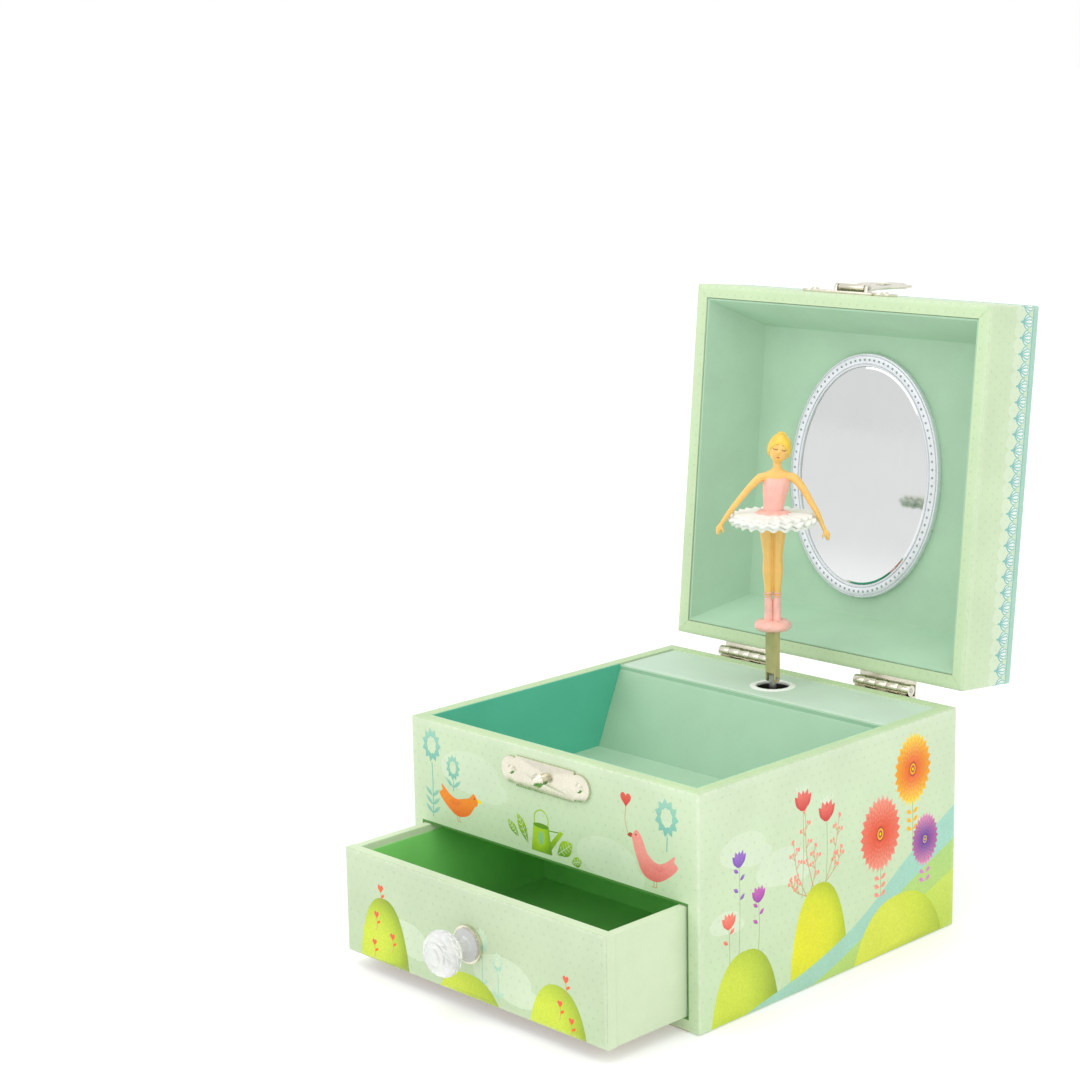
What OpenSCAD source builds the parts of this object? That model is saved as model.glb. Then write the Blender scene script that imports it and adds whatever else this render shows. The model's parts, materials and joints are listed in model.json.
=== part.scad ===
// Wind-up music box: a paper-covered keepsake case with a pull-out drawer, a hinged mirror lid,
// and a dancer that folds down with the lid and turns with the musical movement.
// Millimetres. +Z is up, -Y is the front. The origin is the centre of the case's underside.
// Everything is drawn at rest: lid open on its stop, latch flipped back, drawer part-way out.

/* [Case] */
// Width of the case, left to right
case_w = 108; // [100:1:120]
// Depth of the case, front to back
case_d = 108; // [108:1:112]
// Height of the lower case, to its rim
base_h = 64; // [64:0.5:66]
// Thickness of a side wall, board and covering paper together
wall_t = 4; // [3.8:0.1:4.2]
// Thickness of the printed covering paper
paper_t = 0.3; // [0.2:0.05:0.4]
// Thickness of the bottom board
floor_t = 3.8; // [3:0.1:3.9]
// Height of the tray's floor above the underside
tray_z = 40; // [38:0.5:41]
// Distance of the mechanism cover below the rim
cover_drop = 0.6; // [0.4:0.1:0.8]

/* [Drawer] */
// Height of the drawer opening
drawer_h = 30; // [26:0.5:30]
// How far the drawer is pulled out
drawer_out = 29; // [0:1:50]
// How far the drawer can be pulled out before it leaves the case
drawer_travel = 53; // [40:1:60]
// Thickness of the drawer's front board
drawer_front_t = 3; // [2.5:0.1:3.5]
// Thickness of the drawer's sides and back
drawer_side_t = 2.6; // [2:0.1:3]
// Radius of the knob's face
knob_r = 6.3; // [5:0.1:7]

/* [Lid] */
// Height of the lid, rim to top
lid_h = 23; // [23:0.5:25]
// Angle at which the open lid rests on its stops
lid_open = 95.5; // [95:0.1:95.5]
// How far the lining's panels lean in from the rim to the ceiling
lining_lean = 8; // [6:0.5:9]
// Half the width of the oval mirror frame
mirror_rx = 27.6; // [24:0.1:29]
// Half the height of the oval mirror frame
mirror_ry = 36.6; // [34:0.1:38]
// Width of the mirror frame's ring
mirror_ring = 3.9; // [3:0.1:5]

/* [Hinges and latch] */
// Distance of each hinge from the middle of the case
hinge_x = 26; // [20:0.5:32]
// Length of a hinge
hinge_len = 20; // [20:0.5:22]
// Knuckles in a hinge
hinge_knuckles = 5; // [5, 7]
// Width of the latch's two plates
latch_w = 33; // [30:0.5:34]
// Angle by which the latch tongue is flipped back from its closed place
tongue_flip = 174; // [150:1:174]

/* [Movement] */
// Distance of the cylinder's axis behind the middle of the case
spindle_y = 38.5; // [38.5:0.1:38.5]
// Height of the winding key's axis
key_z = 20; // [19:0.5:20]
// Pegs on the crown wheel
crown_teeth = 30; // [30]
// Teeth on the pinion that the crown wheel drives
pinion_teeth = 10; // [10]
// Teeth on the cylinder's gear
cylinder_teeth = 36; // [36]
// Teeth on the governor's first pinion
gov_pinion_teeth = 12; // [12]
// Teeth on the governor's gear
gov_teeth = 24; // [24]
// Teeth on the fan's pinion
fan_teeth = 8; // [8]
// Teeth in the comb
comb_teeth = 18; // [12:1:18]
// Radius of the music cylinder
cyl_r = 6.5; // [6:0.1:6.5]

/* [Dancer] */
// Direction that the dancer faces, measured from the front towards the right
facing = 40; // [0:1:359]
// Radius of the pink disc that she stands on
stand_r = 5.4; // [4.5:0.1:5.4]
// Radius of her skirt
tutu_r = 12.9; // [11:0.1:13]
// Height of the fold pivot above the underside
fold_z = 66; // [66:0.1:66.2]
// Half of her span, hand to hand
arm_reach = 17; // [15:0.1:17]

/* [Hidden] */
$fn = 48;
eps = 0.05;

hw = case_w / 2;
hd = case_d / 2;
in_x = hw - wall_t;                    // inner faces of the side walls
in_y = hd - wall_t;                    // inner faces of the front and back walls
board_x = hw - paper_t;                // outer faces of the boards under the paper
board_y = hd - paper_t;
fit = 0.3;                             // clearance round the drawer

drawer_z0 = floor_t + 0.2;
drawer_top = floor_t + drawer_h - 0.1;
front_z0 = drawer_top + 0.3;
tray_board_t = 3;
card_t = 0.5;                          // lining card
divider_t = 2.5;
divider_y = 22;
drawer_y1 = divider_y - 0.2;           // back of the closed drawer

cover_t = 1.5;
cover_z = base_h - cover_drop;         // top of the mechanism cover
cover_y = 26.2;                        // its front edge
slope_y = 16.4;                        // foot of the sloping partition
panel_t = 1.5;
hole_r = 4.8;                          // opening in the cup ring
ring_r = 6.9;

seam = 0.2;
lid_z0 = base_h + seam;
lid_top = lid_z0 + lid_h;
lid_board_t = 2.7;
ceiling_z = lid_top - 3.7;             // visible ceiling of the lid
hinge_y = hd + 3;
hinge_z = base_h + 0.8;
knuckle_r = 1.6;
hinge_pin_r = 0.7;
leaf_t = 0.6;
leaf_gap = 1.8;                        // from the hinge axis to the flanges

latch_z = 70;
catch_z = 57;
tongue_z = latch_z + 1.5;              // axis of the tongue's loop
tongue_y = -hd - 1.9;
plate_t = 0.8;
stud_r = 1.5;

crown_r = 9;                           // radius of the ring of pegs
pinion_r = crown_r * pinion_teeth / crown_teeth;
crown_y = spindle_y - pinion_r;        // plane where pegs and pinion mesh
gear_m = 0.4;                          // module of the governor train
gov_x = -gear_m * (cylinder_teeth + gov_pinion_teeth) / 2;
fan_x = gov_x - gear_m * (gov_teeth + fan_teeth) / 2;
arbor_r = 1.2;
bed_y = hd - wall_t - 2;               // front face of the bedplate
cyl_z0 = 33.5;
cyl_z1 = 53.5;
gear1_z = 54.2;
gear2_z = 55.9;
gear_t = 1.2;
upper_z = 57.5;                        // upper bearing plate
bearing_t = 1.2;
gov_z0 = 40;
comb_x = 20;                           // where the comb's teeth begin
run = 0.05;                            // running clearance, on the radius
screw_spots = [[-18, 12], [18, 12], [0, 62 - 7.5]];

stand_z = 80.6;
ankle_z = 89;
hip_z = 111;
neck_z = 126.5;
head_z = 133.7;

// Turns its children, drawn for the closed lid, to the open lid's rest place
module opened() {
    translate([0, hinge_y, hinge_z]) rotate([-lid_open, 0, 0])
        translate([0, -hinge_y, -hinge_z]) children();
}

// Turns its children, drawn for the closed latch, to the flipped-back place on the open lid
module flipped() {
    opened() translate([0, tongue_y, tongue_z]) rotate([-tongue_flip, 0, 0])
        translate([0, -tongue_y, -tongue_z]) children();
}

// Moves the drawer's pieces out to their rest place
module pulled() { translate([0, -drawer_out, 0]) children(); }

// Places its children at the dancer's axis, facing her way
module dancer_place() { translate([0, spindle_y, 0]) rotate([0, 0, facing]) children(); }

// A box between two corners
module block(a, b) { translate(a) cube(b - a); }

// A cylinder along Y from y0 to y1, centred on x and z
module rod_y(x, z, y0, y1, r) {
    translate([x, y1, z]) rotate([90, 0, 0]) cylinder(r = r, h = y1 - y0);
}

// A cylinder along X from x0 to x1, centred on y and z
module rod_x(y, z, x0, x1, r) { translate([x0, y, z]) rotate([0, 90, 0]) cylinder(r = r, h = x1 - x0); }

// Points of an ellipse
function oval(a, b, n = 72) = [for (i = [0:n - 1]) [a * cos(360 * i / n), b * sin(360 * i / n)]];

// Points of a spur wheel: n straight-sided teeth, the first one centred on angle a0
function spur(n, root, tip, w_root, w_tip, a0 = 0) = [for (i = [0:n - 1])
    let (a = a0 + 360 * i / n) each [
        [root * cos(a - w_root), root * sin(a - w_root)], [tip * cos(a - w_tip), tip * sin(a - w_tip)],
        [tip * cos(a + w_tip), tip * sin(a + w_tip)], [root * cos(a + w_root), root * sin(a + w_root)]]];

// A wheel of the governor train, from its tooth count; the tooth's half angles follow the pitch
module train_wheel(n, a0, h) {
    r = gear_m * n / 2;
    linear_extrude(h) polygon(spur(n, r - 1.1 * gear_m, r + 0.75 * gear_m, 100 / n, 36 / n, a0));
}

// ---- case ----

module side_boards() {
    color("tan") for (s = [-1, 1])
        block([s > 0 ? in_x : -board_x, -board_y, 0], [s > 0 ? board_x : -in_x, board_y, base_h]);
}

module bottom_board() { color("tan") block([-in_x, -board_y, 0], [in_x, in_y, floor_t]); }

module front_board() { color("tan") block([-in_x, -board_y, front_z0], [in_x, -in_y, base_h]); }

module back_board() {
    color("tan") difference() {
        block([-in_x, in_y, 0], [in_x, board_y, base_h]);
        rod_y(0, key_z, in_y - 1, hd + 1, 4);
        for (p = screw_spots) rod_y(p[0], p[1], in_y - 1, hd + 1, 1.7);
    }
}

module divider_board() {
    color("tan") block([-in_x, divider_y, floor_t], [in_x, divider_y + divider_t, tray_z - card_t - tray_board_t]);
}

module tray_floor() {
    color("tan") block([-in_x, -in_y, tray_z - card_t - tray_board_t],
        [in_x, divider_y + divider_t, tray_z - card_t]);
}

module partition_panel() {
    foot = tray_z - card_t;
    head = cover_z - cover_t;
    color("mediumaquamarine") translate([-in_x, 0, 0]) rotate([90, 0, 90]) linear_extrude(2 * in_x)
        polygon([[slope_y, foot], [slope_y + panel_t, foot], [cover_y + panel_t, head], [cover_y, head]]);
}

module mechanism_cover() {
    color("mediumaquamarine") difference() {
        block([-in_x, cover_y, cover_z - cover_t], [in_x, in_y, cover_z]);
        translate([0, spindle_y, 0]) cylinder(r = hole_r + 0.6, h = case_w);
    }
}

module cover_cleats() {
    color("tan") for (s = [-1, 1])
        block([s > 0 ? in_x - 4 : -in_x, cover_y + 3, cover_z - cover_t - 5],
            [s > 0 ? in_x : 4 - in_x, in_y, cover_z - cover_t]);
}

module cup_ring() {
    color("gainsboro") translate([0, spindle_y, cover_z]) rotate_extrude()
        polygon([[hole_r, -2], [hole_r + 0.5, -2], [hole_r + 0.5, 0], [ring_r, 0], [ring_r - 0.4, 0.2],
            [hole_r + 1.2, 0.35], [hole_r, 0.1]]);
}

module base_wrap() {
    color("palegreen") difference() {
        block([-hw, -hd, 0.3], [hw, hd, base_h]);
        block([-board_x, -board_y, -1], [board_x, board_y, base_h + 1]);
        block([-in_x, -hd - 1, floor_t + 0.1], [in_x, -hd + 1, front_z0 - 0.1]);
        rod_y(0, key_z, in_y - 1, hd + 1, 4);
        for (p = screw_spots) rod_y(p[0], p[1], in_y - 1, hd + 1, 1.7);
    }
}

module tray_lining() {
    t = 0.4;
    color("mediumseagreen") {
        block([-in_x, -in_y, tray_z - card_t], [in_x, slope_y, tray_z]);
        block([-in_x, -in_y, tray_z], [in_x, t - in_y, base_h]);
        for (s = [-1, 1])
            translate([s > 0 ? in_x - t : -in_x, 0, 0]) rotate([90, 0, 90]) linear_extrude(t)
                polygon([[t - in_y, tray_z], [slope_y, tray_z],
                    [cover_y - 0.1, cover_z - cover_t], [cover_y - 0.1, base_h], [t - in_y, base_h]]);
    }
}

// Outline of a latch plate: a bar with a round lobe at each end
module lobed_plate() {
    offset(0.5) offset(-0.5) union() {
        square([latch_w - 11, 8.4], center = true);
        square([latch_w - 6, 4.6], center = true);
        for (s = [-1, 1]) translate([s * (latch_w / 2 - 3.7), 0]) circle(3.7);
    }
}

// Stands a flat outline up on the front face of the case
module on_front(z, y, t) { translate([0, y, z]) rotate([90, 0, 0]) linear_extrude(t) children(); }

module catch_plate() {
    color("silver") difference() {
        union() {
            on_front(catch_z, -hd, plate_t) lobed_plate();
            rod_y(0, catch_z, -hd - 3.2, -hd - plate_t, stud_r);
            translate([0, -hd - 3.2, catch_z]) rotate([90, 0, 0]) cylinder(r1 = 2, r2 = 0.7, h = 2);
        }
        for (s = [-1, 1]) rod_y(s * (latch_w / 2 - 3.7), catch_z, -hd - 2, -hd + 1, 0.75);
    }
}

// A nail with a domed head, its head's underside on the plane y, pointing along +Y or -Y
module nail(x, y, z, dir, t) {
    translate([x, y, z]) rotate([-90 * dir, 0, 0]) {
        translate([0, 0, -t]) cylinder(r = 0.7, h = 3 + t);
        translate([0, 0, -t - 0.5]) cylinder(r1 = 0.8, r2 = 1.3, h = 0.5);
    }
}

module hinge_nails(z) {
    for (s = [-1, 1], e = [-1, 1]) nail(s * hinge_x + e * 6, hd + leaf_t, z, -1, 0);
}

module base_nails() {
    color("silver") {
        for (s = [-1, 1]) nail(s * (latch_w / 2 - 3.7), -hd - plate_t, catch_z, 1, 0);
        hinge_nails(hinge_z - 8);
    }
}

module hinge_leaf_shape(dir, reach) {
    polygon([[-3, dir * leaf_gap], [reach, dir * leaf_gap], [reach, dir * (leaf_gap + leaf_t)],
        [-3 + leaf_t, dir * (leaf_gap + leaf_t)], [-3 + leaf_t, dir * 11], [-3, dir * 11]]);
}

// One half of a hinge: a leaf with a stop flange, and every second knuckle starting at first
module hinge_half(x, first, dir, reach, bore) {
    step = hinge_len / hinge_knuckles;
    translate([x - hinge_len / 2, hinge_y, hinge_z]) difference() {
        union() {
            rotate([90, 0, 90]) linear_extrude(hinge_len) hinge_leaf_shape(dir, reach);
            for (k = [first:2:hinge_knuckles - 1]) {
                rod_x(0, 0, k * step + eps, (k + 1) * step - eps, knuckle_r);
                block([k * step + eps, -0.7, dir > 0 ? 1.2 : -leaf_gap - 0.1],
                    [(k + 1) * step - eps, 0.7, dir > 0 ? leaf_gap + 0.1 : -1.2]);
            }
        }
        rod_x(0, 0, -1, hinge_len + 1, bore);
        for (e = [-1, 1]) rod_y(hinge_len / 2 + e * 6, dir * 8, -4, 0, 0.75);
    }
}

module hinge_base_leaves() {
    color("silver") for (s = [-1, 1]) hinge_half(s * hinge_x, 0, -1, 1.5, hinge_pin_r + 0.02);
}

module hinge_pins() {
    color("gray") for (s = [-1, 1])
        rod_x(hinge_y, hinge_z, s * hinge_x - hinge_len / 2, s * hinge_x + hinge_len / 2, hinge_pin_r);
}

// ---- movement: fixed pieces ----

module bedplate() {
    color("silver") difference() {
        block([-24, bed_y, 6], [30, in_y, 60]);
        rod_y(0, key_z, bed_y - 1, in_y + 1, 1.6 + run);
        for (p = screw_spots) rod_y(p[0], p[1], bed_y - 1, in_y + 1, 1.5);
        for (z = [37, 43.5, 50]) rod_y(comb_x + 3.5, z, bed_y - 1, in_y + 1, 1.1);
    }
}

// A pan-head screw along Y, its head's underside on the plane y
module screw_y(x, z, y, dir, r, len) {
    translate([x, y, z]) rotate([-90 * dir, 0, 0]) difference() {
        union() {
            cylinder(r = r, h = len);
            translate([0, 0, -1]) cylinder(r1 = 1.6 * r, r2 = 1.9 * r, h = 1);
        }
        translate([-2.5 * r, -0.2 * r, -1.2]) cube([5 * r, 0.4 * r, 0.7]);
    }
}

module movement_screws() {
    color("dimgray") {
        for (p = screw_spots) screw_y(p[0], p[1], hd, -1, 1.45, wall_t + 2);
        for (z = [37, 43.5, 50]) screw_y(comb_x + 3.5, z, spindle_y - 0.5, 1, 1, bed_y - spindle_y);
    }
}

module barrel_bridge() {
    color("silver") difference() {
        union() {
            block([-15, 25, key_z - 3], [15, 26.2, key_z + 3]);
            for (s = [-1, 1]) rod_y(s * 13, key_z, 26.2, bed_y, 1.5);
        }
        rod_y(0, key_z, 24, 27, 1.6 + run);
    }
}

// Two plates across the cylinder's arbor, and the governor's lower plate
module movement_bearings() {
    axis = [0, spindle_y, 0];
    color("gold") {
        difference() {
            block([-5, spindle_y - 4, 31.3], [5, bed_y, 31.3 + bearing_t]);
            translate(axis) cylinder(r = arbor_r + run, h = case_w);
        }
        difference() {
            block([fan_x - 3, spindle_y - 4, upper_z], [5, bed_y, upper_z + bearing_t]);
            translate(axis) cylinder(r = arbor_r + run, h = case_w);
            for (x = [gov_x, fan_x]) translate(axis + [x, 0, 0]) cylinder(r = 0.6 + run, h = case_w);
        }
        difference() {
            block([fan_x - 3, spindle_y - 3, gov_z0], [gov_x + 1.8, bed_y, gov_z0 + bearing_t]);
            for (x = [gov_x, fan_x]) translate(axis + [x, 0, 0]) cylinder(r = 0.6 + run, h = case_w);
        }
    }
}

module comb() {
    pitch = 18 / comb_teeth;
    color("lightsteelblue") difference() {
        union() {
            block([comb_x, spindle_y - 0.5, cyl_z0 - 0.5], [comb_x + 7, spindle_y + 0.5, cyl_z1 + 0.5]);
            for (i = [0:comb_teeth - 1])
                block([cyl_r + 0.8, spindle_y - 0.5, 34.5 + pitch * (i + 0.1)],
                    [comb_x + eps, spindle_y + 0.5, 34.5 + pitch * (i + 0.9)]);
        }
        for (z = [37, 43.5, 50]) rod_y(comb_x + 3.5, z, spindle_y - 1, spindle_y + 1, 1.1);
    }
}

module comb_block() {
    color("silver") difference() {
        block([comb_x, spindle_y + 0.5, cyl_z0 - 0.5], [comb_x + 7, bed_y, cyl_z1 + 0.5]);
        for (z = [37, 43.5, 50]) rod_y(comb_x + 3.5, z, spindle_y, bed_y + 1, 1.05);
    }
}

// The hollow post that carries the folding stem on two side studs, with the drive spindle inside
module pivot_post() {
    color("silver") translate([0, spindle_y, 0]) difference() {
        union() {
            translate([0, 0, upper_z + bearing_t]) cylinder(r = 3, h = 1);
            translate([0, 0, upper_z + bearing_t]) cylinder(r = 1.1, h = fold_z + 1 - upper_z - bearing_t);
            rod_x(0, fold_z, -2, 2, 0.5);
        }
        translate([0, 0, upper_z]) cylinder(r = 0.5, h = 20);
    }
}

// ---- movement: turning pieces ----

module winding_key() {
    y = hd + 3;
    color("silver") difference() {
        union() {
            rod_y(0, key_z, y, y + 7, 3);
            for (s = [-1, 1]) {
                translate([s * 6.5, y + 12, key_z - 0.9]) cylinder(r = 6.2, h = 1.8);
            }
            block([-4, y + 5, key_z - 0.9], [4, y + 13, key_z + 0.9]);
        }
        rod_y(0, key_z, y - 1, y + 5, 1.62);
        for (s = [-1, 1]) translate([s * 7.2, y + 12, key_z - 2]) cylinder(r = 2.6, h = 4);
    }
}

module key_arbor() { color("gray") rod_y(0, key_z, 25.1, hd + 7.9, 1.6); }

module spring_barrel() {
    color("gold") difference() {
        rod_y(0, key_z, 26.6, 33.4, 10);
        rod_y(0, key_z, 27.4, 34, 9.2);
        rod_y(0, key_z, 26, 28, 1.62);
    }
}

// A flat spiral of spring steel between the arbor and the barrel's wall
module mainspring() {
    turns = 7;
    steps = 30;
    r0 = 1.9;
    r1 = 8.9;
    t = 0.3;
    function at(i, off) = let (r = r0 + (r1 - r0) * i / (turns * steps) + off, a = 360 * i / steps)
        [r * cos(a), r * sin(a)];
    color("dimgray") translate([0, 33, key_z]) rotate([90, 0, 0]) linear_extrude(5)
        polygon([for (i = [0:turns * steps]) at(i, 0), for (i = [turns * steps:-1:0]) at(i, t)]);
}

module crown_wheel() {
    color("gold") {
        difference() {
            rod_y(0, key_z, 33.45, crown_y - 1, crown_r + 0.9);
            rod_y(0, key_z, 33, crown_y, 1.62);
        }
        for (i = [0:crown_teeth - 1]) let (a = 360 * i / crown_teeth)
            rod_y(crown_r * sin(a), key_z + crown_r * cos(a), crown_y - 1, crown_y + 0.6, 0.42, $fn = 16);
    }
}

module music_cylinder() {
    color("gold") translate([0, spindle_y, cyl_z0]) difference() {
        cylinder(r = cyl_r, h = cyl_z1 - cyl_z0);
        translate([0, 0, -1]) cylinder(r = arbor_r + 0.02, h = 30);
    }
}

// Tune pins on the cylinder, one row for each comb tooth, at steps that make no two rows alike
module cylinder_pins() {
    color("silver") translate([0, spindle_y, 0])
        for (row = [0:comb_teeth - 1], k = [0:3])
            rotate([0, 0, 5 + (row * 53 + k * 97 + row * k * 29) % 350])
                translate([cyl_r, 0, 34.5 + 18 / comb_teeth * (row + 0.5)])
                    rotate([0, 90, 0]) cylinder(r = 0.18, h = 0.6, $fn = 16);
}

module cylinder_arbor() {
    color("gray") translate([0, spindle_y, 0]) {
        translate([0, 0, 27]) cylinder(r = arbor_r, h = 31.5);
        translate([0, 0, 58.5]) cylinder(r = 0.45, h = fold_z - 1 - 58.5);
        translate([0, 0, key_z + crown_r - 1.5]) linear_extrude(3)
            polygon(spur(pinion_teeth, 2.1, 3.45, 11, 2.6, -90 + 180 / pinion_teeth));
    }
}

module cylinder_gear() {
    color("gold") translate([0, spindle_y, gear1_z]) difference() {
        train_wheel(cylinder_teeth, 0, gear_t);
        translate([0, 0, -1]) cylinder(r = arbor_r + 0.02, h = 4);
    }
}

module governor_gear() {
    color("gold") translate([gov_x, spindle_y, 0]) {
        translate([0, 0, gov_z0 - 0.4]) cylinder(r = 0.6, h = upper_z + 1.5 - gov_z0);
        translate([0, 0, gear1_z]) train_wheel(gov_pinion_teeth, 180 / gov_pinion_teeth, gear_t);
        translate([0, 0, gear1_z + gear_t]) cylinder(r = 1.4, h = gear2_z - gear1_z - gear_t);
        translate([0, 0, gear2_z]) train_wheel(gov_teeth, 0, gear_t);
    }
}

module air_fan() {
    color("silver") translate([fan_x, spindle_y, 0]) {
        translate([0, 0, gov_z0 - 0.4]) cylinder(r = 0.6, h = upper_z + 1.5 - gov_z0);
        translate([0, 0, gear2_z]) train_wheel(fan_teeth, 180 / fan_teeth, gear_t);
        block([-3.6, -0.25, 43], [3.6, 0.25, 51]);
        translate([0, 0, 46]) cylinder(r = 1.2, h = 2);
    }
}

// ---- folding stem and dancer ----

module stem_channel() {
    inner = 1.35;
    outer = 1.75;
    top = stand_z - 1;
    color("darkkhaki") translate([0, spindle_y, 0]) difference() {
        union() {
            for (s = [-1, 1]) {
                block([s > 0 ? inner : -outer, -1.2, fold_z], [s > 0 ? outer : -inner, 1.2, top]);
                rod_x(0, fold_z, s > 0 ? inner : -outer, s > 0 ? outer : -inner, 1.2);
            }
            block([-outer, -1.2, fold_z + 1.7], [outer, -0.8, top]);
            block([-outer, -1.2, fold_z + 4.6], [outer, 1.2, fold_z + 5.2]);
            block([-2, -1.5, top], [2, 1.5, top + 0.8]);
        }
        rod_x(0, fold_z, -3, 3, 0.5 + run);
        translate([0, 0, fold_z + 3]) cylinder(r = 0.6 + run, h = 20);
    }
}

module dancer_spindle() {
    color("silver") translate([0, spindle_y, fold_z + 3.9]) cylinder(r = 0.6, h = stand_z - fold_z - 3.9);
}

module drive_spring() {
    color("gray") translate([0, spindle_y, fold_z - 0.9]) cylinder(r = 0.4, h = 4.7);
}

module dancer_stand() {
    color("lightpink") dancer_place() {
        translate([0, 0, stand_z]) rotate_extrude()
            polygon([[0, 0], [stand_r - 0.5, 0], [stand_r, 0.6], [stand_r - 0.2, 1.4], [stand_r - 1, 2], [0, 2]]);
        for (s = [-1, 1]) translate([s * 1.2, 0, stand_z + 2]) cylinder(r1 = 0.8, r2 = 1.1, h = ankle_z - stand_z - 2);
    }
}

module dancer_arm(s) {
    path = [[4.4, 124.8, 1.3], [11, 118, 1.1], [arm_reach - 0.9, 112, 0.9]];
    for (i = [0:1]) hull() for (p = [path[i], path[i + 1]])
        translate([s * p[0], 0, p[1]]) sphere(r = p[2], $fn = 20);
}

module dancer_figure() {
    color("wheat") dancer_place() {
        for (s = [-1, 1]) {
            translate([s * 1.85, 0, ankle_z]) cylinder(r1 = 1.15, r2 = 1.8, h = hip_z - ankle_z);
            dancer_arm(s);
        }
        translate([0, 0, neck_z]) cylinder(r = 1.4, h = 5);
        translate([0, 0, head_z]) sphere(r = 3.9);
        translate([0, 2.6, head_z + 3]) sphere(r = 1.8);
    }
}

module dancer_bodice() {
    color("pink") dancer_place() rotate_extrude()
        polygon([[0, hip_z], [4.4, hip_z], [4.6, 112.5], [2.9, 115.5], [3.4, 119], [3, 123], [2.6, 126], [0, neck_z]]);
}

module dancer_tutu() {
    color("white") dancer_place() rotate_extrude()
        polygon([[4.75, 111.2], [tutu_r - 1, 111.6], [tutu_r, 112.8], [tutu_r - 1, 114.4], [6, 115], [4.75, 114.6]]);
}

// ---- lid ----

module lid_walls() {
    z1 = lid_top - paper_t - lid_board_t;
    color("tan") opened() for (s = [-1, 1]) {
        block([-board_x, s > 0 ? in_y : -board_y, lid_z0], [board_x, s > 0 ? board_y : -in_y, z1]);
        block([s > 0 ? in_x : -board_x, -in_y, lid_z0], [s > 0 ? board_x : -in_x, in_y, z1]);
    }
}

module lid_top_board() {
    color("tan") opened()
        block([-board_x, -board_y, lid_top - paper_t - lid_board_t], [board_x, board_y, lid_top - paper_t]);
}

module lid_wrap() {
    color("palegreen") opened() difference() {
        block([-hw, -hd, lid_z0], [hw, hd, lid_top]);
        block([-board_x, -board_y, lid_z0 - 1], [board_x, board_y, lid_top - paper_t]);
    }
}

// Corners of a square frustum: half sizes a at height z0 and b at height z1
function frustum_points(a, z0, b, z1) = [for (p = [[a, z0], [b, z1]], c = [[-1, -1], [1, -1], [1, 1], [-1, 1]])
    [c[0] * p[0], c[1] * p[0], p[1]]];
FRUSTUM_FACES = [[0, 1, 2, 3], [7, 6, 5, 4], [0, 4, 5, 1], [1, 5, 6, 2], [2, 6, 7, 3], [3, 7, 4, 0]];

// A folded card tray: four leaning panels and the ceiling
module lid_lining() {
    t = 0.7;
    a = in_x - 0.05;
    b = in_x - lining_lean;
    z0 = lid_z0 + 0.3;
    dz = ceiling_z - z0;
    color("mediumaquamarine") opened() difference() {
        polyhedron(frustum_points(a, z0, b + t, ceiling_z + t), FRUSTUM_FACES);
        polyhedron(frustum_points(a - t + (a - b) / dz, z0 - 1, b, ceiling_z), FRUSTUM_FACES);
    }
}

module mirror_frame() {
    rx = mirror_rx - mirror_ring;
    ry = mirror_ry - mirror_ring;
    color("silver") opened() difference() {
        translate([0, 0, ceiling_z - 2.5]) linear_extrude(2.5) polygon(oval(mirror_rx, mirror_ry));
        translate([0, 0, ceiling_z - 3]) linear_extrude(4) polygon(oval(rx, ry));
        translate([0, 0, ceiling_z - 1.3]) linear_extrude(2) polygon(oval(rx + 1.2, ry + 1.2));
    }
}

module mirror_glass() {
    color("lightblue") opened() translate([0, 0, ceiling_z - 1.25]) linear_extrude(1.2)
        polygon(oval(mirror_rx - mirror_ring + 1, mirror_ry - mirror_ring + 1));
}

module hinge_lid_leaves() {
    color("silver") opened() for (s = [-1, 1]) hinge_half(s * hinge_x, 1, 1, 2.6, hinge_pin_r + run);
}

module lid_nails() {
    color("silver") opened() {
        for (s = [-1, 1]) nail(s * (latch_w / 2 - 3.7), -hd - plate_t, latch_z, 1, 0);
        hinge_nails(hinge_z + 8);
    }
}

// The lid's latch plate, slotted behind the tongue's loop, with an ear at each end of the loop
module latch_plate() {
    color("silver") opened() difference() {
        union() {
            on_front(latch_z, -hd, plate_t) lobed_plate();
            for (s = [-1, 1]) translate([s * 5.5, 0, 0]) {
                block([-0.5, tongue_y, tongue_z - 1.1], [0.5, -hd - plate_t + 0.1, tongue_z + 1.1]);
                rod_x(tongue_y, tongue_z, -0.5, 0.5, 1.1);
            }
        }
        block([-4.8, -hd - 2, tongue_z - 1.4], [4.8, -hd + 1, tongue_z + 1.4]);
        rod_x(tongue_y, tongue_z, -7, 7, 0.52);
        for (s = [-1, 1]) rod_y(s * (latch_w / 2 - 3.7), latch_z, -hd - 2, -hd + 1, 0.75);
    }
}

module hasp_pin() { color("gray") opened() rod_x(tongue_y, tongue_z, -6.2, 6.2, 0.5); }

// Outline of the tongue below its loop: straight, then a bell, then a finger tab
module tongue_outline() {
    offset(-0.8) offset(0.8) union() {
        translate([-4.6, -6.5]) square([9.2, 6.5]);
        polygon([[-4.6, -5.5], [4.6, -5.5], [6.2, -9], [9, -13], [9.4, -15], [8.4, -17], [5, -18.3],
            [-5, -18.3], [-8.4, -17], [-9.4, -15], [-9, -13], [-6.2, -9]]);
        translate([-3, -21]) offset(0.8) offset(-0.8) square([6, 4]);
    }
}

module hasp_tongue() {
    color("silver") flipped() difference() {
        union() {
            rod_x(tongue_y, tongue_z, -4.6, 4.6, 1.05);
            translate([0, tongue_y - 0.45, tongue_z - 0.4]) rotate([90, 0, 0])
                linear_extrude(0.6) tongue_outline();
        }
        rod_x(tongue_y, tongue_z, -6, 6, 0.5 + run);
        rod_y(0, catch_z, tongue_y - 3, tongue_y + 2, 2.3);
    }
}

// ---- drawer ----

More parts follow.
